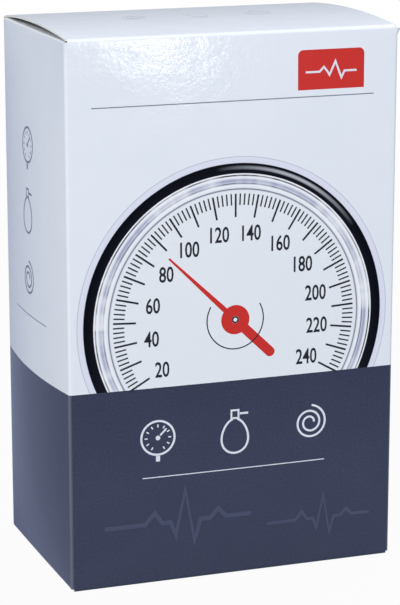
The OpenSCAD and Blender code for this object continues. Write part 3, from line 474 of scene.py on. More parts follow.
flapStart = tuckStart + tuckFold
tip = flapStart + tuck["length"]
cuts = creaseLines(tuckStart, tuckFold) + levels(tip - tuck["corner"], *(flapStart + s for s in tuck["slit"]))
for side in (-1, 1):
    cuts += uprights(*(side * x for x in (tuck["half"], tuck["half"] - tuck["slitLength"], tuck["shoulder"])))
    cuts += roundCorner(side * (tuck["half"] - tuck["corner"]), tip - tuck["corner"], tuck["corner"], side)
tuckBoard = foldBoard("tuckBoard", (-lidHalf, lidCut), (lidHalf, tip), cuts, tuckGone, frontPlace, plainPrint)
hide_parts("tuck_flap")
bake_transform(tuckBoard)

# Left panel, the fold at the back and the glued seam inside the back panel
seam = {"width": 14.0, "low": 6.2, "high": 184.0, "taper": 8.0, "face": 39.35}
leftRuns = [(seam["face"] - foldR + flatD, 0), (foldLength, -90), (100, 0)]
foot = {"side": 0.7, "back": 1.4}


def footTurn(s, low):
    # How far in the lower fold turns under a panel, and how high it is there
    under = max(0, low + foldR - s) / foldR
    return (foldR * (1 - cos(under)), low + foldR - foldR * sin(under)) if under else (0, s)


def leftPlace(u, s):
    x, y, heading = alongFolds(-u, (-halfW, -flatD), 90, leftRuns)
    out = bulge(carton["sideBow"], (-u - flatD) / flatD, 2 * s / carton["sideArch"] - 1)
    inward, s = footTurn(s, foot["side"]) if u > -seam["face"] - flatD else (0, s)
    return x - (out - inward) * sin(heading), y + (out - inward) * cos(heading), s


def leftGone(u, s):
    past = seamAt - u
    if past > 0:
        slope = seam["taper"] * past / seam["width"]
        return past > seam["width"] or not seam["low"] + slope <= s <= seam["high"] - slope
    return s < foot["side"] + foldR and -u > leftRuns[0][0]


sideFoot = foot["side"] + foldR - foldLength
seamAt = -leftRuns[0][0] - foldLength
slant = Vector((seam["taper"], seam["width"])).normalized()
cuts = creaseLines(sideFoot, foldLength) + creaseLines(-leftRuns[0][0], -foldLength, lines=uprights)
cuts += [((seamAt, seam["low"]), (slant.x, slant.y)), ((seamAt, seam["high"]), (-slant.x, slant.y))]
leftBoard = foldBoard("leftBoard", (seamAt - seam["width"], sideFoot), (0, sideTop), cuts, leftGone, leftPlace, plainPrint)
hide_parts("left_panel", "glue_flap")
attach(leftBoard, "carton")

# Right panel, the fold at the back right and the back panel, which ends in a raw edge at the back left
rightRuns = [(2 * flatD, 0), (foldLength, 90), (200, 0)]
backStart = 2 * flatD + foldLength


def rightPlace(u, s):
    x, y, heading = alongFolds(u, (halfW, -flatD), 90, rightRuns)
    if u < 2 * flatD:
        out = bulge(carton["sideBow"], (u - flatD) / flatD, 2 * s / carton["sideArch"] - 1)
    else:
        across = (u - backStart - flatW) / flatW if u > backStart else 1
        out = bulge(carton["faceBow"], across, 2 * s / carton["backTop"] - 1)
    inward, s = footTurn(s, foot["side" if u < 2 * flatD else "back"])
    return x + (out - inward) * sin(heading), y - (out - inward) * cos(heading), s


def rightGone(u, s):
    onSide = u < 2 * flatD
    if s > sideTop:
        return u < backStart or s > carton["backTop"]
    low = foot["side" if onSide else "back"] + foldR
    return s < low - foldLength or (not onSide and u < backStart and s < low)


backFoot = foot["back"] + foldR - foldLength
cuts = levels(sideTop, backFoot) + creaseLines(sideFoot, foldLength) + creaseLines(backFoot, foldLength)
cuts += creaseLines(2 * flatD, foldLength, lines=uprights)
backEnd = backStart + 2 * flatW + 0.8
backBoard = foldBoard("backRightBoard", (0, sideFoot), (backEnd, carton["backTop"]), cuts, rightGone, rightPlace, plainPrint)
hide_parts("back_panel", "right_panel")
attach(backBoard, "carton")
print("side and back panels folded")

# Dust flaps: a strip of the side panel, the fold over its top and the flap, tapered in front and notched at the back
dust = {"axis": 201.6, "radius": 0.6, "length": 38.0, "front": -38.3, "taper": 4.0, "taperRun": 32.0, "back": 37.5,
        "backCut": 34.8, "notch": (4.5, 6.5), "notchSlope": 1.35, "backSlope": 0.063, "backTip": 33.2, "corner": 6.0,
        "sag": 4.0, "strip": 0.8}
dustRuns = [(dust["axis"] - sideTop, 0), (dust["radius"] * pi / 2, -90), (6, -dust["sag"]), (100, 0)]
foldStart = sideTop + dustRuns[0][0]
dustStart = foldStart + dustRuns[1][0]
stripTop, tip, corner = sideTop + dust["strip"], dustStart + dust["length"], dust["corner"]
for side, name, body in ((-1, "dustBoardLeft", "dust_left"), (1, "dustBoardRight", "dust_right")):

    def dustPlace(u, s):
        x, z, heading = alongFolds(s - sideTop, (-halfW, sideTop), 90, dustRuns)
        out = bulge(carton["sideBow"], u / flatD, 2 * s / carton["sideArch"] - 1) if s < carton["sideArch"] else 0
        return -side * (x - out), side * u, z

    def dustGone(u, s):
        y, past = side * u, s - dustStart
        if past < 0:
            return s > stripTop and not dust["front"] < y < dust["back"]
        front = dust["front"] + dust["taper"] * past / dust["taperRun"]
        beyond = past - dust["notch"][1]
        back = dust["backCut"] + dust["notchSlope"] * max(0, -beyond) - dust["backSlope"] * max(0, beyond)
        if past < dust["notch"][0]:
            back = dust["back"]
        over = (past - dust["length"] + corner, max(front + corner - y, y - back + corner))
        return not front < y < back or (min(over) > 0 and hypot(*over) > corner)

    cuts = creaseLines(foldStart, dustRuns[1][0]) + levels(stripTop, *(dustStart + s for s in dust["notch"]))
    cuts += uprights(side * dust["front"], side * dust["back"])
    cuts.append(((side * dust["front"], dustStart), (dust["taperRun"] * side, -dust["taper"])))
    cuts += [((side * dust["backCut"], dustStart + dust["notch"][1]), (side, slope))
             for slope in (dust["backSlope"], dust["notchSlope"])]
    for end, at in ((-1, dust["front"] + dust["taper"]), (1, dust["backTip"])):
        cuts += roundCorner(side * (at - end * corner), tip - corner, corner, side * end)
    board = foldBoard(name, (-flatD, sideTop), (flatD, tip), cuts, dustGone, dustPlace, plainPrint)
    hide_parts("dust_flap_left" if side < 0 else "dust_flap_right")
    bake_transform(board)
print("flaps folded")


# Printing ink: a thin flat film, dull on the varnished board
def inkMaterial(name, color, other):
    material, add, shader = newMaterial(name, color, 0.38)
    dots = add("TexNoise", add("TexCoord").outputs["Object"], 1800, 2.0, 0.55)  # halftone mottle, 0.5 mm
    connect(shader, Base_Color=add("Mix RGBA", dots, color, other))
    return material


blackInk = inkMaterial("offset ink, near black", "#14161f", "#20232e")
redInk = inkMaterial("offset ink, red", "#c6231d", "#d12c24")
whiteInk = inkMaterial("reversed-out board, white", "#d8dde8", "#e4e8f0")
greyInk = inkMaterial("offset ink, grey", "#6a7080", "#7a8090")
paleInk = inkMaterial("tone on tone ink", "#42475f", "#484d66")
lightInk = inkMaterial("offset ink, light grey", "#aab1bd", "#b4bbc7")


def strokeLine(points, width, closed=False):
    # The outline of a line of some width through the points, with mitred corners
    count, left, right = len(points), [], []
    for i, (x, y) in enumerate(points):
        before = points[i - 1] if i or closed else points[i]
        after = points[(i + 1) % count] if i < count - 1 or closed else points[i]
        a, b = Vector((x - before[0], y - before[1])), Vector((after[0] - x, after[1] - y))
        a, b = (a.normalized() if a.length else b.normalized()), (b.normalized() if b.length else a.normalized())
        mid = (a + b).normalized()
        reach = width / 2 / max(0.35, mid.dot(b))
        left.append((x - mid.y * reach, y + mid.x * reach))
        right.append((x + mid.y * reach, y - mid.x * reach))
    return [left, right] if closed else [left + right[::-1]]


def polar(centre, radius, bearing):
    angle = radians(bearing)
    return centre[0] + radius * cos(angle), centre[1] + radius * sin(angle)


def arcPoints(centre, radius, first, last, steps=40):
    return [polar(centre, radius, first + (last - first) * i / steps) for i in range(steps + 1)]


def circle(centre, radius, steps=48):
    return arcPoints(centre, radius, 0, 360, steps)[:-1]


def tickMark(centre, bearing, inner, outer, half):
    along = Vector(polar((0, 0), 1, bearing))
    aside = Vector((-along.y, along.x))
    return [tuple(Vector(centre) + along * r + aside * w)
            for r, w in ((inner, -half), (outer, -half), (outer, half), (inner, half))]


def moved(shapes, shift, scale=1.0):
    return [[[(shift[0] + x * scale, shift[1] + y * scale) for x, y in line] for line in shape] for shape in shapes]


ink = {"film": 0.01, "above": 0.008, "bendStep": 6.0}


def layInk(name, shapes, place, material, words=(), body="carton"):
    # Flat shapes and numbers in the blank's millimetres, laid on the board and bent with it
    made = []
    for shape in shapes:
        outline = bpy.data.curves.new(name, "CURVE")
        outline.dimensions, outline.fill_mode, outline.extrude = "2D", "BOTH", ink["film"]
        for line in shape:
            spline = outline.splines.new("POLY")
            spline.points.add(len(line) - 1)
            for point, (x, y) in zip(spline.points, line):
                point.co = (x, y, 0, 1)
            spline.use_cyclic_u = True
        made.append(bpy.data.objects.new(name, outline))
        scene.collection.objects.link(made[-1])
        pick(made[-1])
        bpy.ops.object.convert(target="MESH")
    for text, height, middle, squeeze in words:
        bpy.ops.object.select_all(action="DESELECT")
        bpy.ops.object.text_add()
        ob = bpy.context.object
        ob.data.body, ob.data.size, ob.data.offset = text, 1.4 * height, 0.02 * height
        ob.data.extrude, ob.data.resolution_u = ink["film"], 3
        bpy.ops.object.convert(target="MESH")
        spots = [v.co for v in ob.data.vertices]
        low = [min(v[i] for v in spots) for i in (0, 1)]
        high = [max(v[i] for v in spots) for i in (0, 1)]
        grow = height / (high[1] - low[1])
        for v in spots:
            v.x = middle[0] + (v.x - (low[0] + high[0]) / 2) * grow * squeeze
            v.y = middle[1] + (v.y - (low[1] + high[1]) / 2) * grow
        made.append(ob)
    pick(made[0])
    for ob in made:
        ob.select_set(True)
    if len(made) > 1:
        bpy.ops.object.join()
    film = made[0]
    film.name = film.data.name = name
    pick(film)
    startEdit()
    bpy.ops.mesh.remove_doubles(threshold=1e-4)
    bpy.ops.mesh.dissolve_degenerate(threshold=1e-4)
    step = ink["bendStep"]
    for axis in (0, 1):
        across = [v.co[axis] for v in bmesh.from_edit_mesh(film.data).verts]
        rows = range(1 - ceil(-min(across) / step), ceil(max(across) / step))
        cutMesh([((i * step, i * step), (1 - axis, axis)) for i in rows])
    bpy.ops.mesh.select_all(action="SELECT")
    bpy.ops.mesh.remove_doubles(threshold=5e-3)
    endEdit()
    for vertex in film.data.vertices:
        u, s, rise = vertex.co
        at = Vector(place(u, s))
        out = (Vector(place(u + 0.05, s)) - at).cross(Vector(place(u, s + 0.05)) - at).normalized()
        vertex.co = (at + out * (rise + ink["film"] + ink["above"])) * mm
    film.data.materials.clear()
    film.data.materials.append(material)
    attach(film, body)


# Marks, numbers, hub arc and pointer of the printed dial
centre, firstMark = printedDial["centre"], printedDial["firstMark"]
ticks, numbers = [], []
for mark in range(firstMark, printedDial["lastMark"] + 1, 2):
    bearing = printedDial["firstAngle"] - (mark - firstMark) * printedDial["degreesPerMark"]
    inner, half = (38.2, 0.36) if mark % 10 == 0 else (42.6, 0.27)
    ticks.append(tickMark(centre, bearing, inner, 46.8, half))
    if mark % 20 == 0:
        numbers.append((str(mark), 5.9, polar(centre, 32.6, bearing), 0.7))
layInk("printedMarks", [ticks], frontPlace, blackInk, numbers)
arc = strokeLine(arcPoints(centre, 11.0, 150, 390), 0.45)
layInk("printedArc", [arc, [circle(centre, 1.35), circle(centre, 0.75)]], frontPlace, blackInk)


def pointerOutline(centre, turn, tip, tipHalf, rootHalf, hub, tail, tailHalf):
    # One outline: a tapered needle, a round hub and a tail with a round end
    upper = [(tip, tipHalf), (sqrt(hub * hub - rootHalf * rootHalf), rootHalf)]
    first, last = degrees(asin(rootHalf / hub)), 180 - degrees(asin(tailHalf / hub))
    upper += arcPoints((0, 0), hub, first, last, 20)[1:] + [(-tail, tailHalf)]
    line = upper + arcPoints((-tail, 0), tailHalf, 90, 270, 16)[1:-1] + [(x, -y) for x, y in upper[::-1]]
    c, s = polar((0, 0), 1, turn)
    return [(centre[0] + x * c - y * s, centre[1] + x * s + y * c) for x, y in line]


red = [pointerOutline(centre, 136.0, 35.5, 0.35, 1.0, 5.5, 19.0, 1.85), circle(centre, 1.4)]
layInk("printedPointer", [red], frontPlace, redInk)


def rule(middle, half, height):
    return [strokeLine([(middle - half, height), (middle + half, height)], 0.35)]


def abovePrint(u, s):
    # on top of ink that is already on the front
    x, y, z = frontPlace(u, s)
    return x, y - 0.02, z


# Rule line and a bare red tab near the top, with a pulse line
layInk("ruleLine", rule(0, 54.0, 178.5), frontPlace, greyInk)
tab = [(24.0, 181.0), (50.0, 181.0), *arcPoints((48.0, 193.5), 2.0, 0, 90, 6), *arcPoints((26.0, 193.5), 2.0, 90, 180, 6)]
layInk("redTab", [[tab]], frontPlace, redInk)
blunt = [(-10.0, 0), (-4.6, 0), (-2.9, 1.7), (-1.5, 0), (-0.7, -1.3), (1.6, 3.6), (4.0, -2.4), (5.2, 0), (10.0, 0)]
layInk("tabPulse", moved([strokeLine(blunt, 0.75)], (37.0, 187.4)), abovePrint, whiteInk)

# Line drawings of what the carton holds: a gauge, a bulb and a rolled cuff, on the band, the sides, the back and the lid
gaugeIcon = [strokeLine(circle((0, 0), 6.4), 0.8, True), [circle((0, 0), 0.9, 16)], strokeLine([(0.9, 0.9), (3.3, 3.3)], 0.7),
             strokeLine([(0, -6.9), (0, -9.0)], 1.6)]
gaugeIcon += [strokeLine([polar((0, 0), 4.0, a), polar((0, 0), 5.1, a)], 0.5) for a in range(-60, 241, 30)]
rays = [polar((0, 0), 1, a) for a in range(12, 349, 12)]
bulbIcon = [strokeLine([(5.2 * s * (1 - 0.16 * c), -1.2 + 6.6 * c) for c, s in rays], 0.8),
            strokeLine([(-1.4, 5.6), (1.4, 5.6), (1.4, 8.6), (-1.4, 8.6)], 0.7, True),
            strokeLine([(1.9, 7.2), (5.2, 7.2)], 0.8)]
cuffIcon = [strokeLine([polar((0, 0), 1.6 + 0.0062 * a, a) for a in range(0, 811, 12)], 0.8)]


def drawings(*places, scale=1.0):
    return [shape for icon, at in zip((gaugeIcon, bulbIcon, cuffIcon), places) for shape in moved(icon, at, scale)]


layInk("bandDrawings", drawings((-30, 56), (0, 55), (30, 56)) + rule(0, 36.0, 41.0), frontPlace, whiteInk)
pulse = [(-11.0, 0), (-5.0, 0), (-3.6, 1.6), (-2.4, 0), (-1.2, 0), (-0.4, -2.0), (1.0, 4.6), (2.4, -3.2), (3.3, 0),
         (4.8, 0), (6.0, 1.3), (7.2, 0), (11.0, 0)]
pulse = [strokeLine(pulse, 0.62)]
layInk("bandPulse", moved(pulse, (-22.0, 23.0), 2.6) + moved(pulse, (34.0, 18.0), 1.9), frontPlace, paleInk)
sideDrawings = drawings((-38.8, 160), (-38.8, 135), (-38.8, 110)) + rule(-38.5, 19.5, 96.0)
layInk("leftDrawings", sideDrawings, leftPlace, greyInk)
layInk("rightDrawings", moved(sideDrawings, (2 * flatD, 0)), rightPlace, greyInk)
middle = backStart + flatW
backDrawings = drawings((middle - 34, 130), (middle, 128), (middle + 34, 130), scale=1.6)
layInk("backRule", rule(middle, 54, 178.5) + backDrawings, rightPlace, greyInk)
middle = (lidStart + tuckStart) / 2
lidDrawings = moved(drawings((-24, middle), (0, middle), (24, middle), scale=0.8), (0, 2 * middle), -1)  # read from behind
layInk("lidDrawings", lidDrawings, frontPlace, lightInk, body="lid")
print("ink laid on the boards")


def surface(name, color, other, roughness, spread, tone, relief, pattern, **sockets):
    # A fine pattern that changes the gloss and stands up a little, over slow changes of tone
    material, add, shader = newMaterial(name, color, roughness, **sockets)
    place = add("TexCoord").outputs["Object"]
    fine, slow = pattern(add, place), add("TexNoise", place, tone, 3.0, 0.55)
    gloss = add("MapRange", fine, 0, 1, roughness * spread[0], roughness * spread[1])
    bump = add("Bump", *relief, Height=fine)
    connect(shader, Base_Color=add("Mix RGBA", slow, color, other), Roughness=gloss, Normal=bump)
    return material


def metal(name, color, darker, roughness, grain, stretch=(1, 1, 1), bump=0.08):
    # Bare or plated metal: its grain runs one way, and handling has dulled it in places
    return surface(name, color, darker, roughness, (0.75, 1.3), 160, (bump, 0.00005), Metallic=1.0, pattern=lambda add, place:
                   add("TexNoise", add("Mapping", place, Scale=stretch), grain, 4.0, 0.6))


def turned(name, color, darker, roughness, pitch=0.35):
    # Metal turned on a lathe or spun: fine rings round the gauge's axis
    def pattern(add, place):
        centred = add("Mapping", place, Location=(-gauge["x"] * mm, 0, 0))
        rings = add("TexWave", centred, 1000 / pitch / 20, 0.6, 2.0, 2.0, wave_type="RINGS", rings_direction="Z")
        return rings.outputs["Fac"]
    return surface(name, color, darker, roughness, (0.8, 1.25), 220, (0.12, 0.00004), pattern, Metallic=1.0)


def moulded(name, color, other, roughness, grain, bump, **sockets):
    # Rubber, plastic or paint: a fine skin with slow changes of tone
    return surface(name, color, other, roughness, (0.85, 1.15), 90, (bump, 0.0001), **sockets, pattern=lambda add, place:
                   add("TexNoise", place, grain, 3.0, 0.55))


gauge = {"x": 31.7, "dialTop": 149.2, "zeroAngle": 258.0, "sweep": 336.0, "fullScale": 300}
rubber = moulded("black nitrile rubber", "#1e1f21", "#28292c", 0.62, 1600, 0.15)
bulbRubber = moulded("moulded black latex rubber", "#232428", "#2e2f34", 0.5, 700, 0.1)

# Window: clear acrylic, which lets the lamps through to the dial, with a faint haze of handling
acrylic, add, shader = newMaterial("clear acrylic window", "#f7fbfc", 0.02, IOR=1.49, Transmission_Weight=1.0)
haze = add("TexNoise", add("TexCoord").outputs["Object"], 500, 4.0, 0.55)
connect(shader, Roughness=add("MapRange", haze, 0, 1, 0.0, 0.05))
clear = add("BsdfTransparent", (0.93, 0.95, 0.95, 1))
mixed = add("MixShader", add("LightPath").outputs["Is Shadow Ray"], shader, clear)
connect(acrylic.node_tree.nodes["Material Output"], mixed)

finishes = [
    (flapBoard, "bottom_flap_front bottom_flap_back bottom_flap_left bottom_flap_right"),
    (greyBoard, "insert_deck insert_divider"),
    (acrylic, "crystal"),
    (rubber, "crystal_gasket valve_seal"),
    (moulded("black stoving lacquer", "#1d1f23", "#25272b", 0.38, 1400, 0.12, Coat_Weight=0.3, Coat_Roughness=0.2),
     "gauge_case"),
    (moulded("white dial enamel", "#eceeec", "#e4e6e5", 0.42, 1800, 0.04), "dial_plate"),
    (moulded("red pointer paint", "#c6231d", "#b91f1a", 0.4, 1800, 0.06), "pointer"),
    (moulded("clear grey PVC tail", "#c9cdd2", "#bcc1c7", 0.33, 1200, 0.05, Subsurface_Weight=0.1), "bladder_ports"),
    (moulded("turned acetal needle", "#dcdcd6", "#d0d0ca", 0.4, 1500, 0.06), "valve_needle"),
    (metal("bright chrome plate", "#d3d6da", "#c6cacf", 0.12, 900, bump=0.03), "intake_valve release_valve valve_knob d_ring"),
    (turned("spun and chromed brass", "#d3d6da", "#c8ccd1", 0.14, 0.5), "bezel"),
    (turned("turned brass", "#cfae64", "#b8944d", 0.27),
     "hose_nipple capsule_stud movement_posts plate_pillars pinion_arbor"),
    (metal("stamped and brushed brass", "#c9a95f", "#b39251", 0.3, 700, (1, 14, 1)),
     "lower_plate upper_plate sector_gear hairspring_stud"),
    (turned("rolled phosphor bronze skin", "#c99b6b", "#b78757", 0.25, 0.6), "capsule_lower capsule_upper"),
    (metal("turned stainless steel", "#b9bdc2", "#a7abb1", 0.22, 1500),
     "plate_screws dial_screws capsule_pin rocking_shaft intake_ball outlet_ball intake_screen"),
    (metal("blued spring steel", "#5c6f9c", "#44557e", 0.3, 1600, (1, 1, 6)), "hairspring"),
]
for material, nodes in finishes:
    for name in nodes.split():
        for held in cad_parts[name].material_slots:
            held.material = material
print("CAD nodes finished")


# Gauge dial: marks every 2, longer every 10, numbers every 20, on the flat plate
def dialPlace(u, s):
    return gauge["x"] + u, s, gauge["dialTop"]


ticks, numbers = [], []
for mark in range(0, gauge["fullScale"] + 1, 2):
    bearing = gauge["zeroAngle"] - gauge["sweep"] * mark / gauge["fullScale"]
    inner, half = (18.6, 0.14) if mark % 20 == 0 else (19.4, 0.12) if mark % 10 == 0 else (20.5, 0.08)
    ticks.append(tickMark((0, 0), bearing, inner, 21.74, half))
    if mark % 20 == 0 and mark < gauge["fullScale"]:
        numbers.append((str(mark), 2.5 if mark % 40 == 0 else 2.0, polar((0, 0), 16.0, bearing), 0.75))
numbers.append(("mmHg", 2.4, (0, 7.2), 0.85))
rim = [circle((0, 0), 21.95, 96), circle((0, 0), 21.8, 96)]
layInk("dialMarks", [ticks, rim], dialPlace, blackInk, numbers)

# Bulb: two moulded halves' parting line, rolled necks, one even rubber wall
bulb = {"x": 31.7, "foot": 4.6, "length": 80.0, "radius": 25.0, "neck": 6.6, "throat": 6.0, "neckLength": 3.0,
        "lip": 0.35, "lipHalf": 0.9, "wall": 2.15, "partingLine": 0.14}


def bulbRadius(z):
    half, throat = bulb["length"] / 2, bulb["throat"]
    off, reach = abs(z - half), half - bulb["neckLength"]
    c = (reach * reach + throat * throat - bulb["radius"] ** 2) / 2 / (bulb["radius"] - throat)
    body = sqrt(max(0, (c + bulb["radius"]) ** 2 - off ** 2)) - c
    lip = bulb["neck"] - bulb["lip"] * min(1, abs(off - half + bulb["lipHalf"]) / bulb["lipHalf"]) ** 2
    return max(body, bulb["neck"] - bulb["lip"], lip if half - off < 2 * bulb["lipHalf"] else 0)


bpy.ops.object.select_all(action="DESELECT")
bpy.ops.mesh.primitive_cylinder_add(vertices=96, radius=10, depth=bulb["length"], end_fill_type="NOTHING", calc_uvs=False)
rubberBulb = bpy.context.object
rubberBulb.name = rubberBulb.data.name = "rubberBulb"
startEdit()
bpy.ops.transform.translate(value=(0, 0, bulb["length"] / 2))
lipRows, bodyLow = [0.4, 0.9, 1.4, 1.8], 2.2
bodyRows = [bodyLow + (bulb["length"] - 2 * bodyLow) * (0.5 - 0.5 * cos(pi * i / 60)) for i in range(61)]
rows = lipRows + bodyRows + [bulb["length"] - z for z in lipRows[::-1]]
cutMesh([((0, 0, z), (0, 0, 1)) for z in rows] + [((0, y, 0), (0, 1, 0)) for y in (-0.3, 0.3)])
endEdit()
for vertex in rubberBulb.data.vertices:
    x, y, z = vertex.co
    onLine = abs(y) < 0.01 and bulb["neckLength"] < z < bulb["length"] - bulb["neckLength"]
    grow = (bulbRadius(z) + (bulb["partingLine"] if onLine else 0)) / hypot(x, y)
    vertex.co = Vector((bulb["x"] + x * grow, y * grow, bulb["foot"] + z)) * mm
pointOutwards(rubberBulb)
thicken(rubberBulb, bulb["wall"] * mm)
smooth(50)
rubberBulb.data.materials.append(bulbRubber)
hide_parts("bulb")
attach(rubberBulb, "carton")
print("bulb moulded")

# Cuff: a bag of woven nylon wound up flat, its hems bound and stitched, with the bladder inside
cuff = {"x": -31.7, "foot": 2.2, "width": 140.0, "thick": 3.9, "innerTurn": 5.0, "pitch": 5.4, "flat": 18.0,
        "halfTurns": 7, "stitchRow": 7.0}
winding, turnEnds = [], {}  # points on the middle of the cloth, and which one each angle ends at
for degree in range(0, 180 * cuff["halfTurns"] + 1, 3):
    half = min(degree // 180, cuff["halfTurns"] - 1)
    shift = cuff["flat"] / 2 * (1 if half % 2 == 0 else -1)
    x, y = polar((0, 0), cuff["innerTurn"] + cuff["pitch"] * degree / 360 + cuff["thick"] / 2, degree)
    isFlat = degree % 180 == 0 and 0 < degree < 180 * cuff["halfTurns"]
    winding += [(x, y + shift * i / 4) for i in range(-4, 5)] if isFlat else [(x, y + shift)]
    turnEnds[degree] = len(winding) - 1
wound = [0.0]
for (ax, ay), (bx, by) in zip(winding, winding[1:]):
    wound.append(wound[-1] + hypot(bx - ax, by - ay))
cuffLength = wound[-1]
print("cuff is", round(cuffLength), "mm long")


def windingAt(length):
    # Place and outward direction at a length along the winding
    length = min(max(length, 0), cuffLength)
    i = next((k for k, w in enumerate(wound) if w > length), len(wound) - 1)
    share = (length - wound[i - 1]) / (wound[i] - wound[i - 1])

    def heading(j):
        a, b = winding[max(0, j - 1)], winding[min(len(winding) - 1, j + 1)]
        return Vector((b[0] - a[0], b[1] - a[1])).normalized()

    along = (heading(i - 1) * (1 - share) + heading(i) * share).normalized()
    return Vector(winding[i - 1]).lerp(Vector(winding[i]), share), Vector((along.y, -along.x))


placeCache = {}


def rollPlace(s, u, out):
    if s not in placeCache:
        placeCache[s] = windingAt(s)
    spot, away = placeCache[s]
    return Vector((cuff["x"] + spot.x + away.x * out, spot.y + away.y * out, cuff["foot"] + u)) * mm


def rollBag(name, low, high, thick, steps, edge, shape=None, shift=0.0):
    # A closed flat bag: two layers joined by round edges, shaped, then wound up
    bag = newGrid(name, low, high, [round((high[i] - low[i]) / steps[i]) for i in (0, 1)])
    for inset in (0.25 * edge, 0.6 * edge, edge):
        cutMesh(uprights(low[0] + inset, high[0] - inset) + levels(low[1] + inset, high[1] - inset))
    endEdit()
    keepLayout(bag, "clothLayout")
    thicken(bag, 2.0, 0)
    for vertex in bag.data.vertices:
        s, u, side = vertex.co
        near = min(s - low[0], high[0] - s, u - low[1], high[1] - u)
        roundness = sqrt(max(0.0, 1 - (1 - min(1, max(0, near) / edge)) ** 2))
        out = thick / 2 * (0.12 + 0.88 * roundness) * (shape(s, u) if shape else 1)
        vertex.co = rollPlace(s, u, shift + copysign(out, side))
    smooth(60)
    return bag


def coverShape(s, u):
    # Thin at the bound hems, full over the bladder, and pulled in along the stitching
    hem = min(u, cuff["width"] - u)
    full = 0.66 + 0.34 * min(1, max(0, (hem - 5) / 9))
    stitch = 0.1 * exp(-((hem - cuff["stitchRow"]) / 0.7) ** 2)
    pucker = 0.03 * sin(s * 0.9 + 2 * sin(s * 0.13)) * exp(-((hem - 9) / 4) ** 2)
    return full - stitch + pucker


cuffCover = rollBag("cuffCover", (1.9, 0), (cuffLength, cuff["width"]), cuff["thick"], (2.0, 3.5), 1.2, coverShape)
innerBag = rollBag("cuffBladder", (12, 9.5), (cuffLength - 40, 130.5), 1.5, (3.0, 4.5), 0.7)


def ripple(add, along, length):
    return add("Math SINE", add("Math MULTIPLY", along, 2 * pi / length))


def stitchRow(add, across, at, along, width=0.0003, length=0.003):
    # 1 on the stitches of a row that runs along the cloth at some place across it
    near = add("Math LESS_THAN", add("Math ABSOLUTE", add("Math SUBTRACT", across, at)), width)
    return add("Math MULTIPLY", near, add("Math GREATER_THAN", ripple(add, along, length), -0.45))


def fromEdges(add, along, low, high):
    # How far a point of the cloth is from the nearer of two edges
    return add("Math MINIMUM", add("Math SUBTRACT", along, low), add("Math SUBTRACT", high, along))


# Hook tape: stiff moulded hooks in rows, drawn 1.5 mm apart; loop tape: a brushed pile with a sheen
patch = {"thick": 0.6, "gap": 0.05, "seam": 0.0016}
tapes = {
    "hook": {"degrees": (1110, 1245), "low": 20, "high": 120, "face": -1, "cut": 53.0, "title": "nylon hook tape",
             "color": "#1c1d21", "pale": "#34363c", "roughness": 0.55, "sheen": 0.0},
    "loop": {"degrees": (735, 897), "low": 16, "high": 124, "face": 1, "cut": 61.2, "title": "brushed nylon loop pile",
             "color": "#28325a", "pale": "#3b4774", "roughness": 0.85, "sheen": 0.5},
}
for kind, tape in tapes.items():
    first, last = (wound[turnEnds[degree]] for degree in tape["degrees"])
    middle = tape["face"] * (cuff["thick"] / 2 + patch["gap"] + patch["thick"] / 2)
    strip = rollBag(kind + "Patch", (first, tape["low"]), (last, tape["high"]), patch["thick"], (2.4, 4.0), 0.5, shift=middle)
    material, add, shader = newMaterial(tape["title"], tape["color"], tape["roughness"], Sheen_Weight=tape["sheen"])
    layout = add("UVMap", uv_map="clothLayout")
    along, up, _ = add("SeparateXYZ", layout).outputs
    if kind == "hook":
        grain = add("TexVoronoi", layout, 667.0, Randomness=0.25)
    else:
        grain = add("TexNoise", layout, 1400, 5.0, 0.7)
    ends, sides = fromEdges(add, along, first * mm, last * mm), fromEdges(add, up, tape["low"] * mm, tape["high"] * mm)
    border, diagonal = add("Math MINIMUM", ends, sides), add("Math ADD", along, up)
    stitches = stitchRow(add, border, patch["seam"], diagonal, 0.00028, 0.0026)
    shade = add("Mix RGBA", grain, tape["color"], tape["pale"])
    rise = add("Math ADD", grain, stitches)
    connect(shader, Base_Color=add("Mix RGBA", stitches, shade, "#7f88a6"), Normal=add("Bump", 0.7, 0.0003, Height=rise))
    strip.data.materials.append(material)
    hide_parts(kind + "_patch")
    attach(strip, "carton")

# Woven nylon: plain weave of 0.5 mm threads, drawn at 0.9 mm so that it shows, with a soft sheen
cloth = {"thread": 0.0009, "rib": 0.0012, "binding": (0.0049, 0.0046)}
cuffCloth, add, shader = newMaterial("woven nylon cloth", "#2b3554", 0.72, Sheen_Weight=0.25, Sheen_Roughness=0.4)
layout = add("UVMap", uv_map="clothLayout")
along, up, _ = add("SeparateXYZ", layout).outputs
warp, weft = ripple(add, along, cloth["thread"]), ripple(add, up, cloth["thread"])
ribs = ripple(add, along, cloth["rib"])
height = add("MapRange", add("Math MULTIPLY", warp, weft), -1.0)
mottle = add("MapRange", add("TexNoise", layout, 300, 3.0, 0.55), To_Max=0.25)
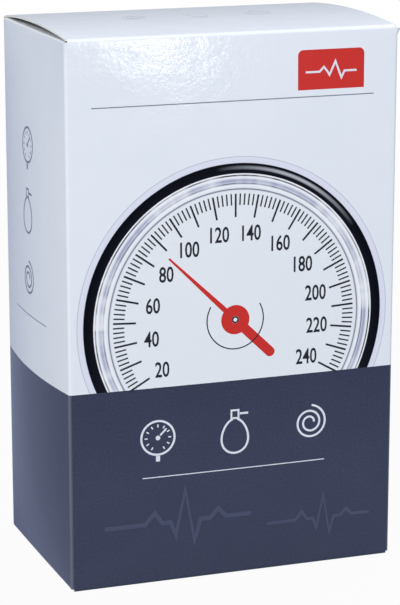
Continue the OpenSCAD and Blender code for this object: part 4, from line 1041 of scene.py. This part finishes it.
# the weave's hollows are painted darker and the thread tops lighter, following the relief: painted shade
color = add("Mix RGBA", height, "#222b47", "#34406a")
color = add("Mix RGBA", mottle, color, "#3f4a70")
hem = fromEdges(add, up, 0.0, cuff["width"] * mm)
stitches = stitchRow(add, hem, cuff["stitchRow"] * mm, along)  # lock stitches of 3 mm along both hems
for row in (5.6, cuffLength - 36, cuffLength - 4):  # across the cloth, at the bladder's ends and the tail
    stitches = add("Math MAXIMUM", stitches, stitchRow(add, along, row * mm, up))
binding = add("MapRange", hem, *cloth["binding"])  # a ribbed tape folded over each long edge
# the binding is painted darker in the hollows between its ribs, following the relief: painted shade
ribbed = add("Mix RGBA", add("MapRange", ribs, -1.0), "#191f33", "#2a3352")
color = add("Mix RGBA", binding, color, ribbed)
color = add("Mix RGBA", stitches, color, "#8790ad")
rise = add("Math MULTIPLY_ADD", stitches, 1.5, height)
rise = add("Math MULTIPLY_ADD", binding, add("Math ADD", ribs, 3.0), rise)
connect(shader, Base_Color=color, Normal=add("Bump", 0.5, 0.00012, Height=rise))
cuffCover.data.materials.append(cuffCloth)
innerBag.data.materials.append(rubber)

# Sleeve: the end of the cloth sewn round the ring's straight wire
sleeve = {"x": cuff["x"] + 6.95, "y": 9.0, "outer": 2.5, "wall": 0.75, "low": 42.2, "high": 102.2}
ringSleeve = newGrid("ringSleeve", (-0.5, -0.5), (0.5, 0.5), (32, 20))
endEdit()
keepLayout(ringSleeve, "clothLayout", (0.1, 0.07), (2 * pi * sleeve["outer"] * mm, 0.05))
for vertex in ringSleeve.data.vertices:
    up = vertex.co.y + 0.5
    out = sleeve["outer"] - 0.12 * (1 - abs(sin(pi * up)) ** 0.3)
    x, y = polar((sleeve["x"], sleeve["y"]), out, 360 * vertex.co.x)
    vertex.co = Vector((x, y, sleeve["low"] + up * (sleeve["high"] - sleeve["low"]))) * mm
pointOutwards(ringSleeve)
thicken(ringSleeve, sleeve["wall"] * mm)
smooth(50)
ringSleeve.data.materials.append(cuffCloth)
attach(ringSleeve, "carton")
for piece, slot, node in ((cuffCover, "cuff_cloth", "cuff_cover"), (innerBag, "black_rubber", "bladder")):
    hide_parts(node)
    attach(piece, "carton")
print("cuff wound")
